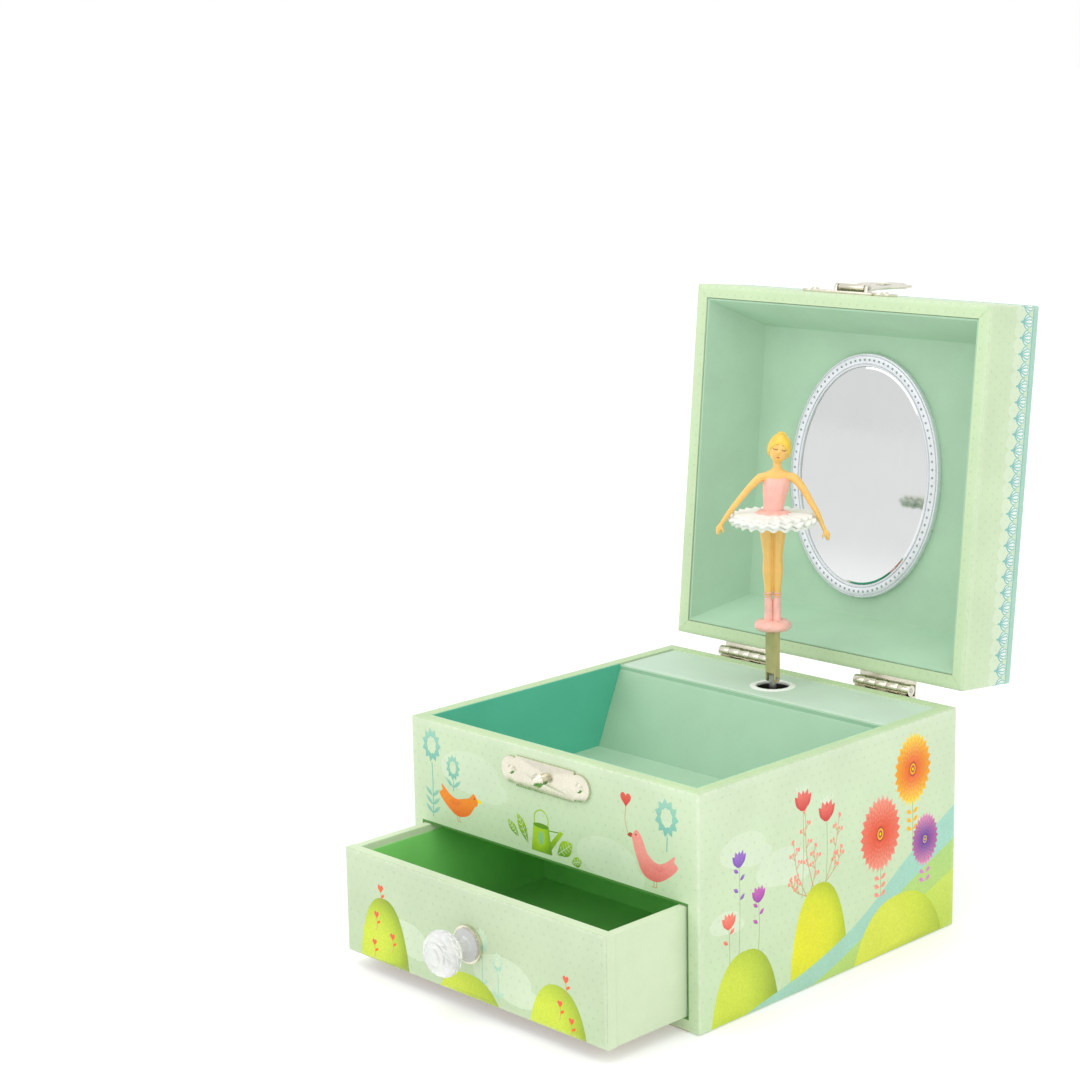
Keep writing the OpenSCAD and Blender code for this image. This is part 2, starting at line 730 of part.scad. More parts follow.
module drawer_front() {
    color("tan") pulled() difference() {
        block([fit - in_x, -board_y, drawer_z0], [in_x - fit, drawer_front_t - board_y, drawer_top]);
        rod_y(0, (drawer_z0 + drawer_top) / 2, -hd - 1, -in_y + 2, 1.6);
    }
}

module drawer_walls() {
    y0 = drawer_front_t - board_y;
    x1 = in_x - fit - 0.1;
    x0 = x1 - drawer_side_t;
    color("tan") pulled() {
        for (s = [-1, 1])
            block([s > 0 ? x0 : -x1, y0, drawer_z0], [s > 0 ? x1 : -x0, drawer_y1, drawer_top]);
        block([-x0, drawer_y1 - drawer_side_t, drawer_z0], [x0, drawer_y1, drawer_top - 2]);
    }
}

module drawer_bottom() {
    x0 = in_x - fit - 0.1 - drawer_side_t;
    color("tan") pulled()
        block([-x0, drawer_front_t - board_y, drawer_z0], [x0, drawer_y1 - drawer_side_t, drawer_z0 + 2]);
}

module drawer_wrap() {
    color("palegreen") pulled() difference() {
        block([fit - in_x, -hd, drawer_z0], [in_x - fit, -board_y, drawer_top]);
        rod_y(0, (drawer_z0 + drawer_top) / 2, -hd - 1, -in_y + 2, 1.6);
    }
}

module drawer_lining() {
    t = 0.3;
    x0 = in_x - fit - 0.1 - drawer_side_t;
    y0 = drawer_front_t - board_y;
    y1 = drawer_y1 - drawer_side_t;
    z0 = drawer_z0 + 2;
    color("forestgreen") pulled() difference() {
        block([-x0, y0, z0], [x0, y1, drawer_top - 2]);
        block([t - x0, y0 + t, z0 + t], [x0 - t, y1 - t, drawer_top]);
        rod_y(0, (drawer_z0 + drawer_top) / 2, y0 - 1, y0 + 1, 3);
    }
}

// The clear knob: a flared foot, a neck and a broad round face
module drawer_knob() {
    color("aliceblue") pulled() translate([0, -hd - 1, (drawer_z0 + drawer_top) / 2]) rotate([90, 0, 0])
        rotate_extrude() polygon([[0, 5], [1.2, 5], [1.2, 0], [4.6, 0], [4.4, 0.8], [3.2, 2], [2.9, 3.6], [3.6, 5.2],
            [knob_r - 0.6, 6.8], [knob_r, 7.8], [knob_r, 9.4], [knob_r - 1.4, 11], [0, 11.6]]);
}

// The ring behind the knob and the screw that holds it from inside the drawer
module knob_fittings() {
    z = (drawer_z0 + drawer_top) / 2;
    color("silver") pulled() {
        difference() {
            rod_y(0, z, -hd - 1, -hd, 5.2);
            rod_y(0, z, -hd - 2, -hd + 1, 1.6);
        }
        rod_y(0, z, -hd - 5.6, drawer_front_t - board_y, 1.15);
        rod_y(0, z, drawer_front_t - board_y, drawer_front_t - board_y + 1.2, 2.6);
    }
}

side_boards();
bottom_board();
front_board();
back_board();
divider_board();
tray_floor();
partition_panel();
mechanism_cover();
cover_cleats();
cup_ring();
base_wrap();
tray_lining();
catch_plate();
base_nails();
hinge_base_leaves();
hinge_pins();
bedplate();
movement_screws();
barrel_bridge();
movement_bearings();
comb();
comb_block();
pivot_post();
winding_key();
key_arbor();
spring_barrel();
mainspring();
crown_wheel();
music_cylinder();
cylinder_pins();
cylinder_arbor();
cylinder_gear();
governor_gear();
air_fan();
stem_channel();
dancer_spindle();
dancer_stand();
dancer_figure();
dancer_bodice();
dancer_tutu();
drive_spring();
lid_walls();
lid_top_board();
lid_wrap();
lid_lining();
mirror_frame();
mirror_glass();
hinge_lid_leaves();
lid_nails();
latch_plate();
hasp_pin();
hasp_tongue();
drawer_front();
drawer_walls();
drawer_bottom();
drawer_wrap();
drawer_lining();
drawer_knob();
knob_fittings();
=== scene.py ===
"""Wind-up music box: its visible surfaces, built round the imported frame.

Lengths inside this file are millimetres in the box's own frame: +Z up, -Y the front, origin at the
centre of the underside. They become metres only where a mesh is made.
"""
import json
import math

import bmesh
import bpy
import numpy as np
from bpy.props import FloatProperty, FloatVectorProperty, IntProperty, PointerProperty
from mathutils import Matrix, Vector
from mathutils.geometry import delaunay_2d_cdt


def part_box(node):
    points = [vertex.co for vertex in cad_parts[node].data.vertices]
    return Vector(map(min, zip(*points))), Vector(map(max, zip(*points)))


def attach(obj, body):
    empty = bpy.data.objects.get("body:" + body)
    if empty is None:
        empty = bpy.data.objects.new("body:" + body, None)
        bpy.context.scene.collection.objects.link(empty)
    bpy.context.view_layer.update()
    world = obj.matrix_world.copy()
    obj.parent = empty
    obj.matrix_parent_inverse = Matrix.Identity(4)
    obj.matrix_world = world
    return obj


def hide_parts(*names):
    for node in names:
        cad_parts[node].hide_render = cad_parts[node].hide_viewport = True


bl_info = {
    "name": "Wind-up Music Box",
    "version": (1, 0, 0),
    "blender": (4, 5, 0),
    "location": "3D View > Sidebar > Music Box",
    "description": "Builds the paper, metal and doll surfaces of a wind-up music box round its frame",
    "category": "Object",
}

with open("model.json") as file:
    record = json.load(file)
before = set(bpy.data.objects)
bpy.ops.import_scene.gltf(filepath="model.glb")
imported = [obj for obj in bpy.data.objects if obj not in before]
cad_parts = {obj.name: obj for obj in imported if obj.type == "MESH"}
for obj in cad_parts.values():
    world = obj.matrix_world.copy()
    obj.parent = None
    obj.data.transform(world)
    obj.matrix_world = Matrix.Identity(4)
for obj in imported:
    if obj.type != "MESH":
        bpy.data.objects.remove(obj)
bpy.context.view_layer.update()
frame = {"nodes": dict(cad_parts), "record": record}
MM = 0.001
TAU = 2 * math.pi


# ---- sizes taken from the frame ----

def reach(node):
    """Lowest and highest corner of a node, in millimetres."""
    low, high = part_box(node)
    return np.array(low) / MM, np.array(high) / MM


def joint(name):
    """The record's joint of that name."""
    return next(j for j in frame["record"]["behaviour"]["joints"] if j["name"] == name)


HINGE = np.array(joint("lid_hinge")["pos_m"]) / MM
LID_TURN = math.radians(joint("lid_hinge")["range_deg"][1])


def turn_about_x(points, pivot, angle):
    """Points turned by angle about the line through pivot along X."""
    c, s = math.cos(angle), math.sin(angle)
    y, z = points[:, 1] - pivot[1], points[:, 2] - pivot[2]
    return np.stack([points[:, 0], pivot[1] + c * y - s * z, pivot[2] + s * y + c * z], -1)


def opened(points):
    """Points drawn on the closed lid, swung up to the lid's rest place."""
    return turn_about_x(points, HINGE, -LID_TURN)


def node_points(node):
    """All the vertices of a node's mesh, in millimetres."""
    mesh = frame["nodes"][node].data
    flat = np.empty(len(mesh.vertices) * 3, dtype=np.float32)
    mesh.vertices.foreach_get("co", flat)
    return flat.reshape(-1, 3).astype(float) / MM


def closed_reach(node):
    """Lowest and highest corner of a lid node, with the lid swung shut."""
    points = turn_about_x(node_points(node), HINGE, LID_TURN)
    return points.min(0), points.max(0)


CASE_LOW, CASE_HIGH = reach("base_wrap")
LID_LOW, LID_HIGH = closed_reach("lid_wrap")
DRAWER_LOW, DRAWER_HIGH = reach("drawer_wrap")
FRONT_BOARD_HIGH = reach("drawer_front")[1]
RING_LOW, RING_HIGH = reach("cup_ring")
STAND_LOW, STAND_HIGH = reach("dancer_stand")
TUTU_LOW, TUTU_HIGH = reach("dancer_tutu")
HALF = CASE_HIGH[0]
RIM = CASE_HIGH[2]
WALL = HALF - reach("tray_floor")[1][0]
RIM_LIFT = 0.07
SPINDLE = (RING_LOW + RING_HIGH) / 2


# ---- colours ----

def ink(red, green, blue):
    """A colour on the display's 0 to 255 scale, as linear light."""
    shown = np.array([red, green, blue]) / 255
    return tuple(np.where(shown <= 0.04045, shown / 12.92, ((shown + 0.055) / 1.055) ** 2.4).tolist())


GROUND_LOW = ink(193, 215, 174)
GROUND_HIGH = ink(202, 219, 187)
RIM_TONE = ink(186, 210, 164)
# The drawer front's ground: the case's ground printed darker, as painted shade on the drawer front.
DRAWER_GROUND_SHADED_LOW = ink(183, 203, 165)
DRAWER_GROUND_SHADED_HIGH = ink(191, 207, 176)
CLOUD = ink(207, 223, 194)
LIME_DARK = ink(128, 152, 38)
LIME = ink(176, 198, 56)
LIME_LIGHT = ink(200, 216, 66)
SUN_DARK = ink(160, 182, 30)
SUN = ink(208, 216, 40)
SUN_LIGHT = ink(222, 222, 36)
BAND_GREEN = ink(182, 208, 104)
BAND_TEAL = ink(158, 202, 178)
BAND_TEAL_LIGHT = ink(158, 208, 190)
TEAL = ink(118, 184, 168)
TEAL_PALE = ink(156, 204, 182)
TEAL_LINE = ink(128, 186, 180)
LACE_WHITE = ink(222, 232, 222)
RIBBON_GREY = ink(164, 202, 184)
CORAL = ink(226, 96, 76)
CORAL_PALE = ink(240, 146, 124)
RED = ink(200, 58, 56)
ORANGE = ink(242, 138, 24)
AMBER = ink(232, 104, 24)
FLAME = ink(228, 78, 40)
HONEY = ink(244, 176, 30)
YELLOW = ink(250, 214, 10)
BROWN = ink(176, 66, 36)
PURPLE = ink(124, 82, 172)
MAGENTA = ink(180, 74, 160)
PINK = ink(238, 150, 140)
ROSE = ink(222, 110, 104)
STEM = ink(162, 186, 132)
TWIG = ink(196, 150, 100)
LEAF = ink(96, 146, 24)
LEAF_LIGHT = ink(162, 200, 40)
# Dark green of the painted shadow in the gap round the drawer's opening.
SHADOW_GAP_GREEN = ink(84, 140, 66)
WHITE_GLOW = ink(240, 242, 230)
BLUE = ink(104, 178, 200)


# ---- flat outlines of the print, in millimetres across and up ----

def oval(x, y, rx, ry, turn=0.0, count=28):
    """Ellipse: centre plus (rx cos t, ry sin t), turned by turn radians."""
    t = np.arange(count) * TAU / count
    a, b = rx * np.cos(t), ry * np.sin(t)
    return np.stack([x + a * math.cos(turn) - b * math.sin(turn),
                     y + a * math.sin(turn) + b * math.cos(turn)], -1)


def leaf(base, tip, width, blunt=0.0, count=8):
    """Leaf from base to tip: half the width is sin(pi t) along it; blunt moves the bulge to the tip."""
    base, tip = np.array(base, float), np.array(tip, float)
    t = np.linspace(0, 1, count)
    along = base + (tip - base) * t[:, None]
    normal = np.array([base[1] - tip[1], tip[0] - base[0]]) / max(np.linalg.norm(tip - base), 1e-6)
    half = width / 2 * np.sin(math.pi * t ** (1 + blunt))
    left = along + normal * half[:, None]
    right = along - normal * half[:, None]
    return np.concatenate([right, left[-2:0:-1]])


def curve(knots, count=None):
    """Catmull-Rom curve through the knots, as an array of points."""
    p = np.array(knots, float)
    p = np.concatenate([2 * p[:1] - p[1:2], p, 2 * p[-1:] - p[-2:-1]])
    spans = len(p) - 3
    s = np.linspace(0, spans, count or spans * 6 + 1)
    i = np.minimum(s.astype(int), spans - 1)
    t = (s - i)[:, None]
    a, b, c, d = p[i], p[i + 1], p[i + 2], p[i + 3]
    return b + 0.5 * t * (c - a + t * (2 * a - 5 * b + 4 * c - d + t * (3 * (b - c) + d - a)))


def stroke(knots, width, end_width=None, count=None):
    """Brush line: the curve through the knots, moved half the width to each side."""
    line = curve(knots, count)
    way = np.gradient(line, axis=0)
    way /= np.maximum(np.linalg.norm(way, axis=1), 1e-9)[:, None]
    side = np.stack([-way[:, 1], way[:, 0]], -1)
    half = np.linspace(width, width if end_width is None else end_width, len(line))[:, None] / 2
    return np.concatenate([line - side * half, (line + side * half)[::-1]])


def hill_outline(x, foot, half, rise, count=30):
    """Hill: a superellipse arch, x + half cos t and foot + rise sin t, its sides steepened."""
    t = np.linspace(0, math.pi, count)
    across = np.sign(np.cos(t)) * np.abs(np.cos(t)) ** 0.85
    return np.stack([x + half * across, foot + rise * np.sin(t) ** 0.9], -1)


def rayed(x, y, rx, ry, rays, depth, phase=0.0, steps=4):
    """Rayed oval: the ellipse's radius cut in by depth between each two rays."""
    t = np.arange(rays * steps) * TAU / (rays * steps)
    k = 1 - depth * (0.5 - 0.5 * np.cos(rays * t + phase)) ** 0.8
    return np.stack([x + rx * k * np.cos(t), y + ry * k * np.sin(t)], -1)


def heart_outline(x, y, width, height, count=24):
    """Heart: x from sin cubed t, y from the usual sum of four cosines."""
    t = np.arange(count) * TAU / count
    a = np.sin(t) ** 3
    b = (13 * np.cos(t) - 5 * np.cos(2 * t) - 2 * np.cos(3 * t) - np.cos(4 * t)) / 16
    return np.stack([x - width / 2 * a, y + height / 2 * b], -1)


def leftward(points):
    """An outline with its points in anticlockwise order, told by its signed area."""
    points = np.asarray(points, float)
    x, y = points.T
    return points if np.dot(x, np.roll(y, -1)) > np.dot(y, np.roll(x, -1)) else points[::-1]


class Print:
    """A flat printed sheet: its outline, its cut-outs, and the shapes painted on it in order."""

    def __init__(self, outline, cuts=(), folds=(), tones=(GROUND_LOW, GROUND_HIGH)):
        self.outline = leftward(outline)
        self.cuts = [leftward(cut) for cut in cuts]
        self.folds = folds
        self.tones = tones
        self.shapes = []

    def paint(self, points, *tones, glow=None, ground=False):
        """Paints a shape, its tones spread evenly from foot to top or from the glow's radius inwards."""
        self.shapes.append((leftward(points), np.array(tones), glow, ground))

    def triangles(self, spacing):
        """Constrained Delaunay triangles of all the outlines: points, faces, corner inks, ground mask."""
        loops = [self.outline, *self.cuts, *[s[0] for s in self.shapes]]
        faces = []
        start = 0
        for loop in loops:
            faces.append(list(range(start, start + len(loop))))
            start += len(loop)
        low, high = self.outline.min(0), self.outline.max(0)
        steps = np.maximum(((high - low) / spacing).astype(int), 2)
        across, up = np.meshgrid(*[np.linspace(low[k], high[k], steps[k] + 1)[1:-1] for k in (0, 1)])
        lines = np.array(self.folds, float).reshape(-1, 2)
        flat = np.concatenate([*loops, lines, np.stack([across.ravel(), up.ravel()], -1)])
        edges = [(start + 2 * k, start + 2 * k + 1) for k in range(len(lines) // 2)]
        made = delaunay_2d_cdt([Vector(p) for p in flat.tolist()], edges, faces, 1, 1e-4, True)
        points = np.array([tuple(p) for p in made[0]])
        corners = np.array(made[2])
        last_cut = len(self.cuts)
        kept = np.array([0 in own and not any(0 < k <= last_cut for k in own) for own in made[5]])
        top = np.array([max(own) if own else 0 for own in made[5]])[kept] - last_cut - 1
        corners = corners[kept]
        where = points[corners]
        inks = np.empty(where.shape[:2] + (3,))
        ground = np.zeros(where.shape[:2])
        for number in np.unique(top):
            mine = top == number
            spots = where[mine]
            if number < 0:
                shape = (self.outline, np.array(self.tones), None, True)
            else:
                shape = self.shapes[number]
            outline, tones, glow, is_ground = shape
            if glow is None:
                foot, head = outline[:, 1].min(), outline[:, 1].max()
                share = (spots[..., 1] - foot) / max(head - foot, 1e-6)
            else:
                share = 1 - np.hypot(spots[..., 0] - glow[0], spots[..., 1] - glow[1]) / glow[2]
            stops = np.linspace(0, 1, len(tones))
            inks[mine] = np.stack([np.interp(share, stops, tones[:, k]) for k in range(3)], -1)
            ground[mine] = float(is_ground)
        return points, corners, inks, ground


# ---- painted motifs ----

def mixed(first, second, share):
    """The ink a share of the way from first to second."""
    return tuple(np.array(first) + (np.array(second) - np.array(first)) * share)


def paint_tulip(sheet, x, y, size, dark, light, foot=None, leaves=()):
    """A tulip: a round cup with five pointed petals fanned from it, on a thin stem with small drop leaves."""
    if foot is not None:
        sheet.paint(stroke([(x, y - size * 0.4), (x + 0.3, (y + foot) / 2), (x - 0.2, foot)], 0.26), STEM)
    for side, drop in leaves:
        at = (x + side * 0.3, y - size * 0.5 - drop)
        sheet.paint(leaf(at, (at[0] + side * 1.9, at[1] + 1.3), 1.1), dark, light)
    base = (x, y - size * 0.5)
    for turn, tall, pale in ((-0.66, 1.0, 0.0), (0.66, 1.0, 0.1), (0.0, 1.02, 0.45), (-0.33, 1.1, 1.0),
                             (0.33, 1.1, 0.8)):
        tip = (x + math.sin(turn) * size * tall, base[1] + math.cos(turn) * size * tall)
        sheet.paint(leaf(base, tip, size * 0.42), dark, mixed(dark, light, 0.4 + 0.6 * pale))
    sheet.paint(oval(x, base[1] + size * 0.26, size * 0.34, size * 0.28, count=14), dark,
                mixed(dark, light, 0.5))


def paint_gerbera(sheet, x, y, rx, ry, outer, inner, centre, leaf_ink, pairs, rays=26, rings=6):
    """A many-petalled flower: rayed ovals, each smaller, turned half a ray and nearer the inner ink."""
    for number in range(rings):
        share = 1 - 0.66 * number / (rings - 1)
        tone = mixed(outer, inner, number / (rings - 1))
        shaded = mixed(mixed(tone, inner, 0.6), BROWN, 0.12)
        sheet.paint(rayed(x, y, rx * share, ry * share, rays, 0.15, math.pi * number, 4),
                    mixed(tone, CLOUD, 0.12), shaded, *(shaded,) * 4, glow=(x, y, (rx + ry) / 2 * share))
    sheet.paint(oval(x, y, rx * 0.2, ry * 0.2, count=16), centre)
    sheet.paint(oval(x, y, rx * 0.15, ry * 0.15, count=14), mixed(YELLOW, inner, 0.4))
    sheet.paint(oval(x, y, rx * 0.1, ry * 0.1, count=12), centre)
    sheet.paint(oval(x, y, rx * 0.045, ry * 0.045, count=8), YELLOW)
    for number in range(pairs):
        at = y - ry - 1.6 - 2.4 * number
        for side in (-1, 1):
            sheet.paint(leaf((x, at - 0.5), (x + side * 2.5, at + 0.8), 1.3, blunt=0.5), leaf_ink)


def paint_hill(sheet, x, foot, half, rise, dark=LIME_DARK, mid=LIME, light=LIME_LIGHT):
    """A hill: an arch lit from the left, its tones falling off evenly towards its right edge."""
    sheet.paint(hill_outline(x, foot, half, rise), dark, mid, light, light,
                glow=(x - half * 0.42, foot + rise * 0.55, half * 1.42))


def paint_cloud(sheet, x, y, size, tone=CLOUD):
    """A cloud: a paler oval with a second, smaller one low on its side."""
    sheet.paint(oval(x, y, size, size * 0.5), tone, tone, ground=True)
    sheet.paint(oval(x + size * 0.55, y - size * 0.3, size * 0.7, size * 0.3), tone, tone, ground=True)


def paint_ring_flower(sheet, x, y, rx, ry, foot, chevrons=0, faint=False):
    """A ring flower: serrated teal oval with a pale eye, on a stem with chevron leaves."""
    tone, pale = (TEAL_PALE, CLOUD) if faint else (TEAL, TEAL_PALE)
    sheet.paint(stroke([(x, y - ry), (x + 0.2, (y + foot) / 2), (x, foot)], 0.35), tone)
    for number in range(chevrons):
        at = foot + 1 + number * 2.5
        for side in (-1, 1):
            sheet.paint(leaf((x, at), (x + side * 3.1, at + 2.5), 1.1), tone, pale)
    sheet.paint(rayed(x, y, rx, ry, 11, 0.26), tone, pale)
    sheet.paint(rayed(x, y, rx * 0.5, ry * 0.52, 9, 0.12, math.pi), GROUND_HIGH, GROUND_HIGH)


def paint_bird(sheet, x, y, size, way, neck, dark, light, beak):
    """A small bird: one smooth outline from crown to forked tail and belly; neck lifts its head."""
    def at(a, b):
        return x + way * a * size, y + b * size
    head = 0.22 + neck
    spots = ((-0.8, head), (-0.62, head + 0.2), (-0.42, head + 0.04), (-0.18, 0.18 + 0.25 * neck),
             (0.18, 0.1), (0.5, 0.2), (0.86, 0.46), (0.84, 0.28), (0.98, 0.12), (0.6, -0.24), (0.14, -0.46),
             (-0.36, -0.34), (-0.66, 0.0 + 0.42 * neck), (-0.77, head - 0.16))
    for leg in (0.06, 0.16):
        sheet.paint(stroke([at(leg, -0.4), at(leg - 0.01, -0.6), at(leg - 0.08, -0.64)], 0.24), TWIG)
    sheet.paint(leaf(at(-0.72, head + 0.03), at(-0.98, head - 0.02), 0.14 * size), beak)
    body = curve([at(*spot) for spot in spots + spots[:1]], 73)[:-1]
    sheet.paint(body, dark, light, light)
    wing = leaf(at(-0.16, 0.0), at(0.5, -0.02), 0.24 * size, blunt=0.5)
    sheet.paint(wing, mixed(dark, light, 0.2), mixed(dark, light, 0.8))
    sheet.paint(oval(*at(-0.64, head + 0.05), 0.035 * size, 0.035 * size, count=8), BROWN)


def paint_watering_can(sheet, x, y):
    """A watering can: tapered body, dark mouth, arched handle, braced spout, and veined leaves each side."""
    for base, tip, wide in (((-5.0, -4.6), (-9.4, 3.6), 2.9), ((-8.6, -3.4), (-13.2, 1.0), 2.3),
                            ((5.6, -5.0), (11.6, -0.6), 4.4), ((11.0, -6.0), (15.0, -4.6), 2.9)):
        base, tip = np.array(base) + (x, y), np.array(tip) + (x, y)
        sheet.paint(leaf(base, tip, wide, blunt=0.2, count=12), LEAF, LEAF_LIGHT)
        sheet.paint(stroke([base, (base + tip) / 2, tip], 0.22, 0.1), GROUND_HIGH)
        across = np.array([base[1] - tip[1], tip[0] - base[0]]) / np.linalg.norm(tip - base)
        for share in (0.3, 0.45, 0.6, 0.75):
            spot = base + (tip - base) * share
            for lean in (-0.3, 0.3):
                sheet.paint(stroke([spot, spot + across * lean * wide + (tip - base) * 0.08], 0.18, count=4),
                            GROUND_HIGH)
    sheet.paint(stroke([(x - 2.8, y + 1.8), (x - 2.4, y + 5.0), (x + 0.2, y + 6.2), (x + 2.4, y + 4.4),
                        (x + 2.4, y + 1.8)], 0.4), LEAF_LIGHT)
    sheet.paint(stroke([(x + 2.2, y + 1.0), (x + 7.4, y + 1.4)], 0.3), LEAF)
    sheet.paint([(x + 2.8, y - 5.2), (x + 3.0, y - 2.4), (x + 6.9, y + 1.9), (x + 8.3, y + 1.5)], LEAF,
                LEAF_LIGHT)
    sheet.paint([(x - 3.2, y + 1.8), (x - 3.9, y - 5.6), (x + 3.9, y - 5.6), (x + 2.8, y + 1.8)], LEAF,
                LEAF_LIGHT, LEAF_LIGHT, glow=(x - 1.8, y - 1.0, 6.2))
    sheet.paint(oval(x - 0.2, y + 1.8, 3.0, 0.7, count=20), LEAF)
    sheet.paint(oval(x - 0.2, y - 1.6, 1.1, 1.9, count=16), mixed(LEAF_LIGHT, TEAL, 0.55))


def paint_berry_twig(sheet, root, tip, side):
    """A berry twig: a bent stalk with short side stalks, each ending in small red berries."""
    root, tip = np.array(root, float), np.array(tip, float)
    bend = (root + tip) / 2 + (side * 1.2, 0)
    line = curve([root, bend, tip])
    sheet.paint(stroke([root, bend, tip], 0.3, 0.18), TWIG)
    for share, out in ((0.4, 1.0), (0.6, -1.0), (0.78, 1.0), (0.9, -0.8), (1.0, 0.3)):
        start = line[int(share * (len(line) - 1))]
        end = start + (out * 2.0 * side, 1.7)
        sheet.paint(stroke([start, (start + end) / 2 + (0, 0.2), end], 0.2), TWIG)
        sheet.paint(oval(*end, 0.5, 0.62, count=9), CORAL_PALE)
        beside = start + (out * 0.9 * side, 2.0)
        sheet.paint(stroke([start, beside], 0.16, count=4), TWIG)
        sheet.paint(oval(*beside, 0.42, 0.52, count=8), CORAL_PALE)


def paint_lace(sheet, top, fans, half):
    """The lace border: a ruled ribbon at the lid's top edge, then fans of white petals in teal outline."""
    sheet.paint([(-half, top - 2.5), (half, top - 2.5), (half, top), (-half, top)], RIBBON_GREY)
    for tick in np.linspace(-half, half, 2 * 12 + 1)[1:-1]:
        sheet.paint(rectangle(tick - 0.12, top - 2.4, tick + 0.12, top), TEAL_PALE)
    step = 2 * half / fans
    for number in range(fans):
        x = -half + (number + 0.5) * step
        sheet.paint(oval(x, top - 8.6, step * 0.5, 2.8, count=20), CLOUD, ground=True)
    for number in range(fans + 1):
        x = -half + number * step
        base = (x, top - 7.6)
        for turn, tall in ((-0.82, 4.6), (0.82, 4.6), (-0.42, 5.0), (0.42, 5.0), (0.0, 5.0)):
            tip = (x + math.sin(turn) * tall * 0.62, base[1] + math.cos(turn) * tall)
            sheet.paint(leaf((x, base[1] - 0.5), tip, 1.5, blunt=0.6), TEAL_LINE)
            foot = (x + math.sin(turn) * 0.6, base[1] + math.cos(turn) * 0.9)
            near = (x + math.sin(turn) * tall * 0.56, base[1] + math.cos(turn) * (tall - 0.35))
            sheet.paint(leaf(foot, near, 0.9, blunt=0.5), LACE_WHITE)
        sheet.paint(leaf((x, base[1] + 0.5), (x, base[1] - 1.2), 0.7), TEAL_LINE)
    sheet.paint(rectangle(-half, top - 2.9, half, top - 2.4), TEAL_LINE)


# ---- the print of each face ----

def rectangle(left, foot, right, head):
    """Corners of an upright rectangle, from its lower left one round to its upper left one."""
    return [(left, foot), (right, foot), (right, head), (left, head)]


def paint_sweep(sheet, knots, *tones):
    """A sweeping band: all of a side's sheet that lies below a curve through the knots."""
    sheet.paint(np.concatenate([curve(knots), [(56, -9), (-56, -9)]]), *tones)


def case_outline(half, low, high, wall):
    """A side of the case laid flat: the wall, then the flap that folds in over the rim, with mitred ends."""
    return [(-half, low), (half, low), (half, high), (half - wall, high + wall), (-half + wall, high + wall),
            (-half, high)]


def lid_outline(half, low, high, wall):
    """A side of the lid laid flat: as the case's, with the flap under its lower rim."""
    return [(-half, high), (-half, low), (-half + wall, low - wall), (half - wall, low - wall), (half, low),
            (half, high)]


def fold_lines(half, low, high, turn, levels):
    """Lines that keep rows of points where the paper turns a corner of radius turn."""
    lines = []
    for share in np.linspace(0.2, 1, 4):
        for side in (-1, 1):
            x = side * (half - turn * share)
            lines += [(x, low), (x, high)]
        for level, way in levels:
            y = level + way * turn * share
            lines += [(-half, y), (half, y)]
    return lines


def front_print(sheet):
    """Case front: ring flowers, two birds, a watering can and a heart over the drawer's opening."""
    paint_cloud(sheet, -30, 52, 12)
    paint_cloud(sheet, 22, 40, 11)
    paint_ring_flower(sheet, -45.7, 57, 3.9, 5.0, 36.2, 3)
    paint_ring_flower(sheet, -37.0, 52.2, 2.9, 3.8, 45.4, 1)
    paint_bird(sheet, -34.2, 42.6, 8.8, -1, 0.0, AMBER, ORANGE, YELLOW)
    paint_watering_can(sheet, -2.2, 41.4)
    sheet.paint(stroke([(29, 55.5), (28.7, 52), (29.6, 48.6)], 0.2), TWIG)
    sheet.paint(heart_outline(29, 57.6, 3.8, 4.4), RED, CORAL)
    paint_bird(sheet, 38.2, 41.8, 9.0, 1, 0.5, ROSE, PINK, BROWN)
    paint_ring_flower(sheet, 43.2, 55.6, 4.2, 5.2, 46.6, 0)
    low, high = DRAWER_LOW, DRAWER_HIGH
    # A dark green band just round the drawer's opening: painted shadow in the gap between drawer and case.
    sheet.paint(rectangle(-HALF + 3.6, low[2] - 0.7, HALF - 3.6, high[2] + 0.8), SHADOW_GAP_GREEN)


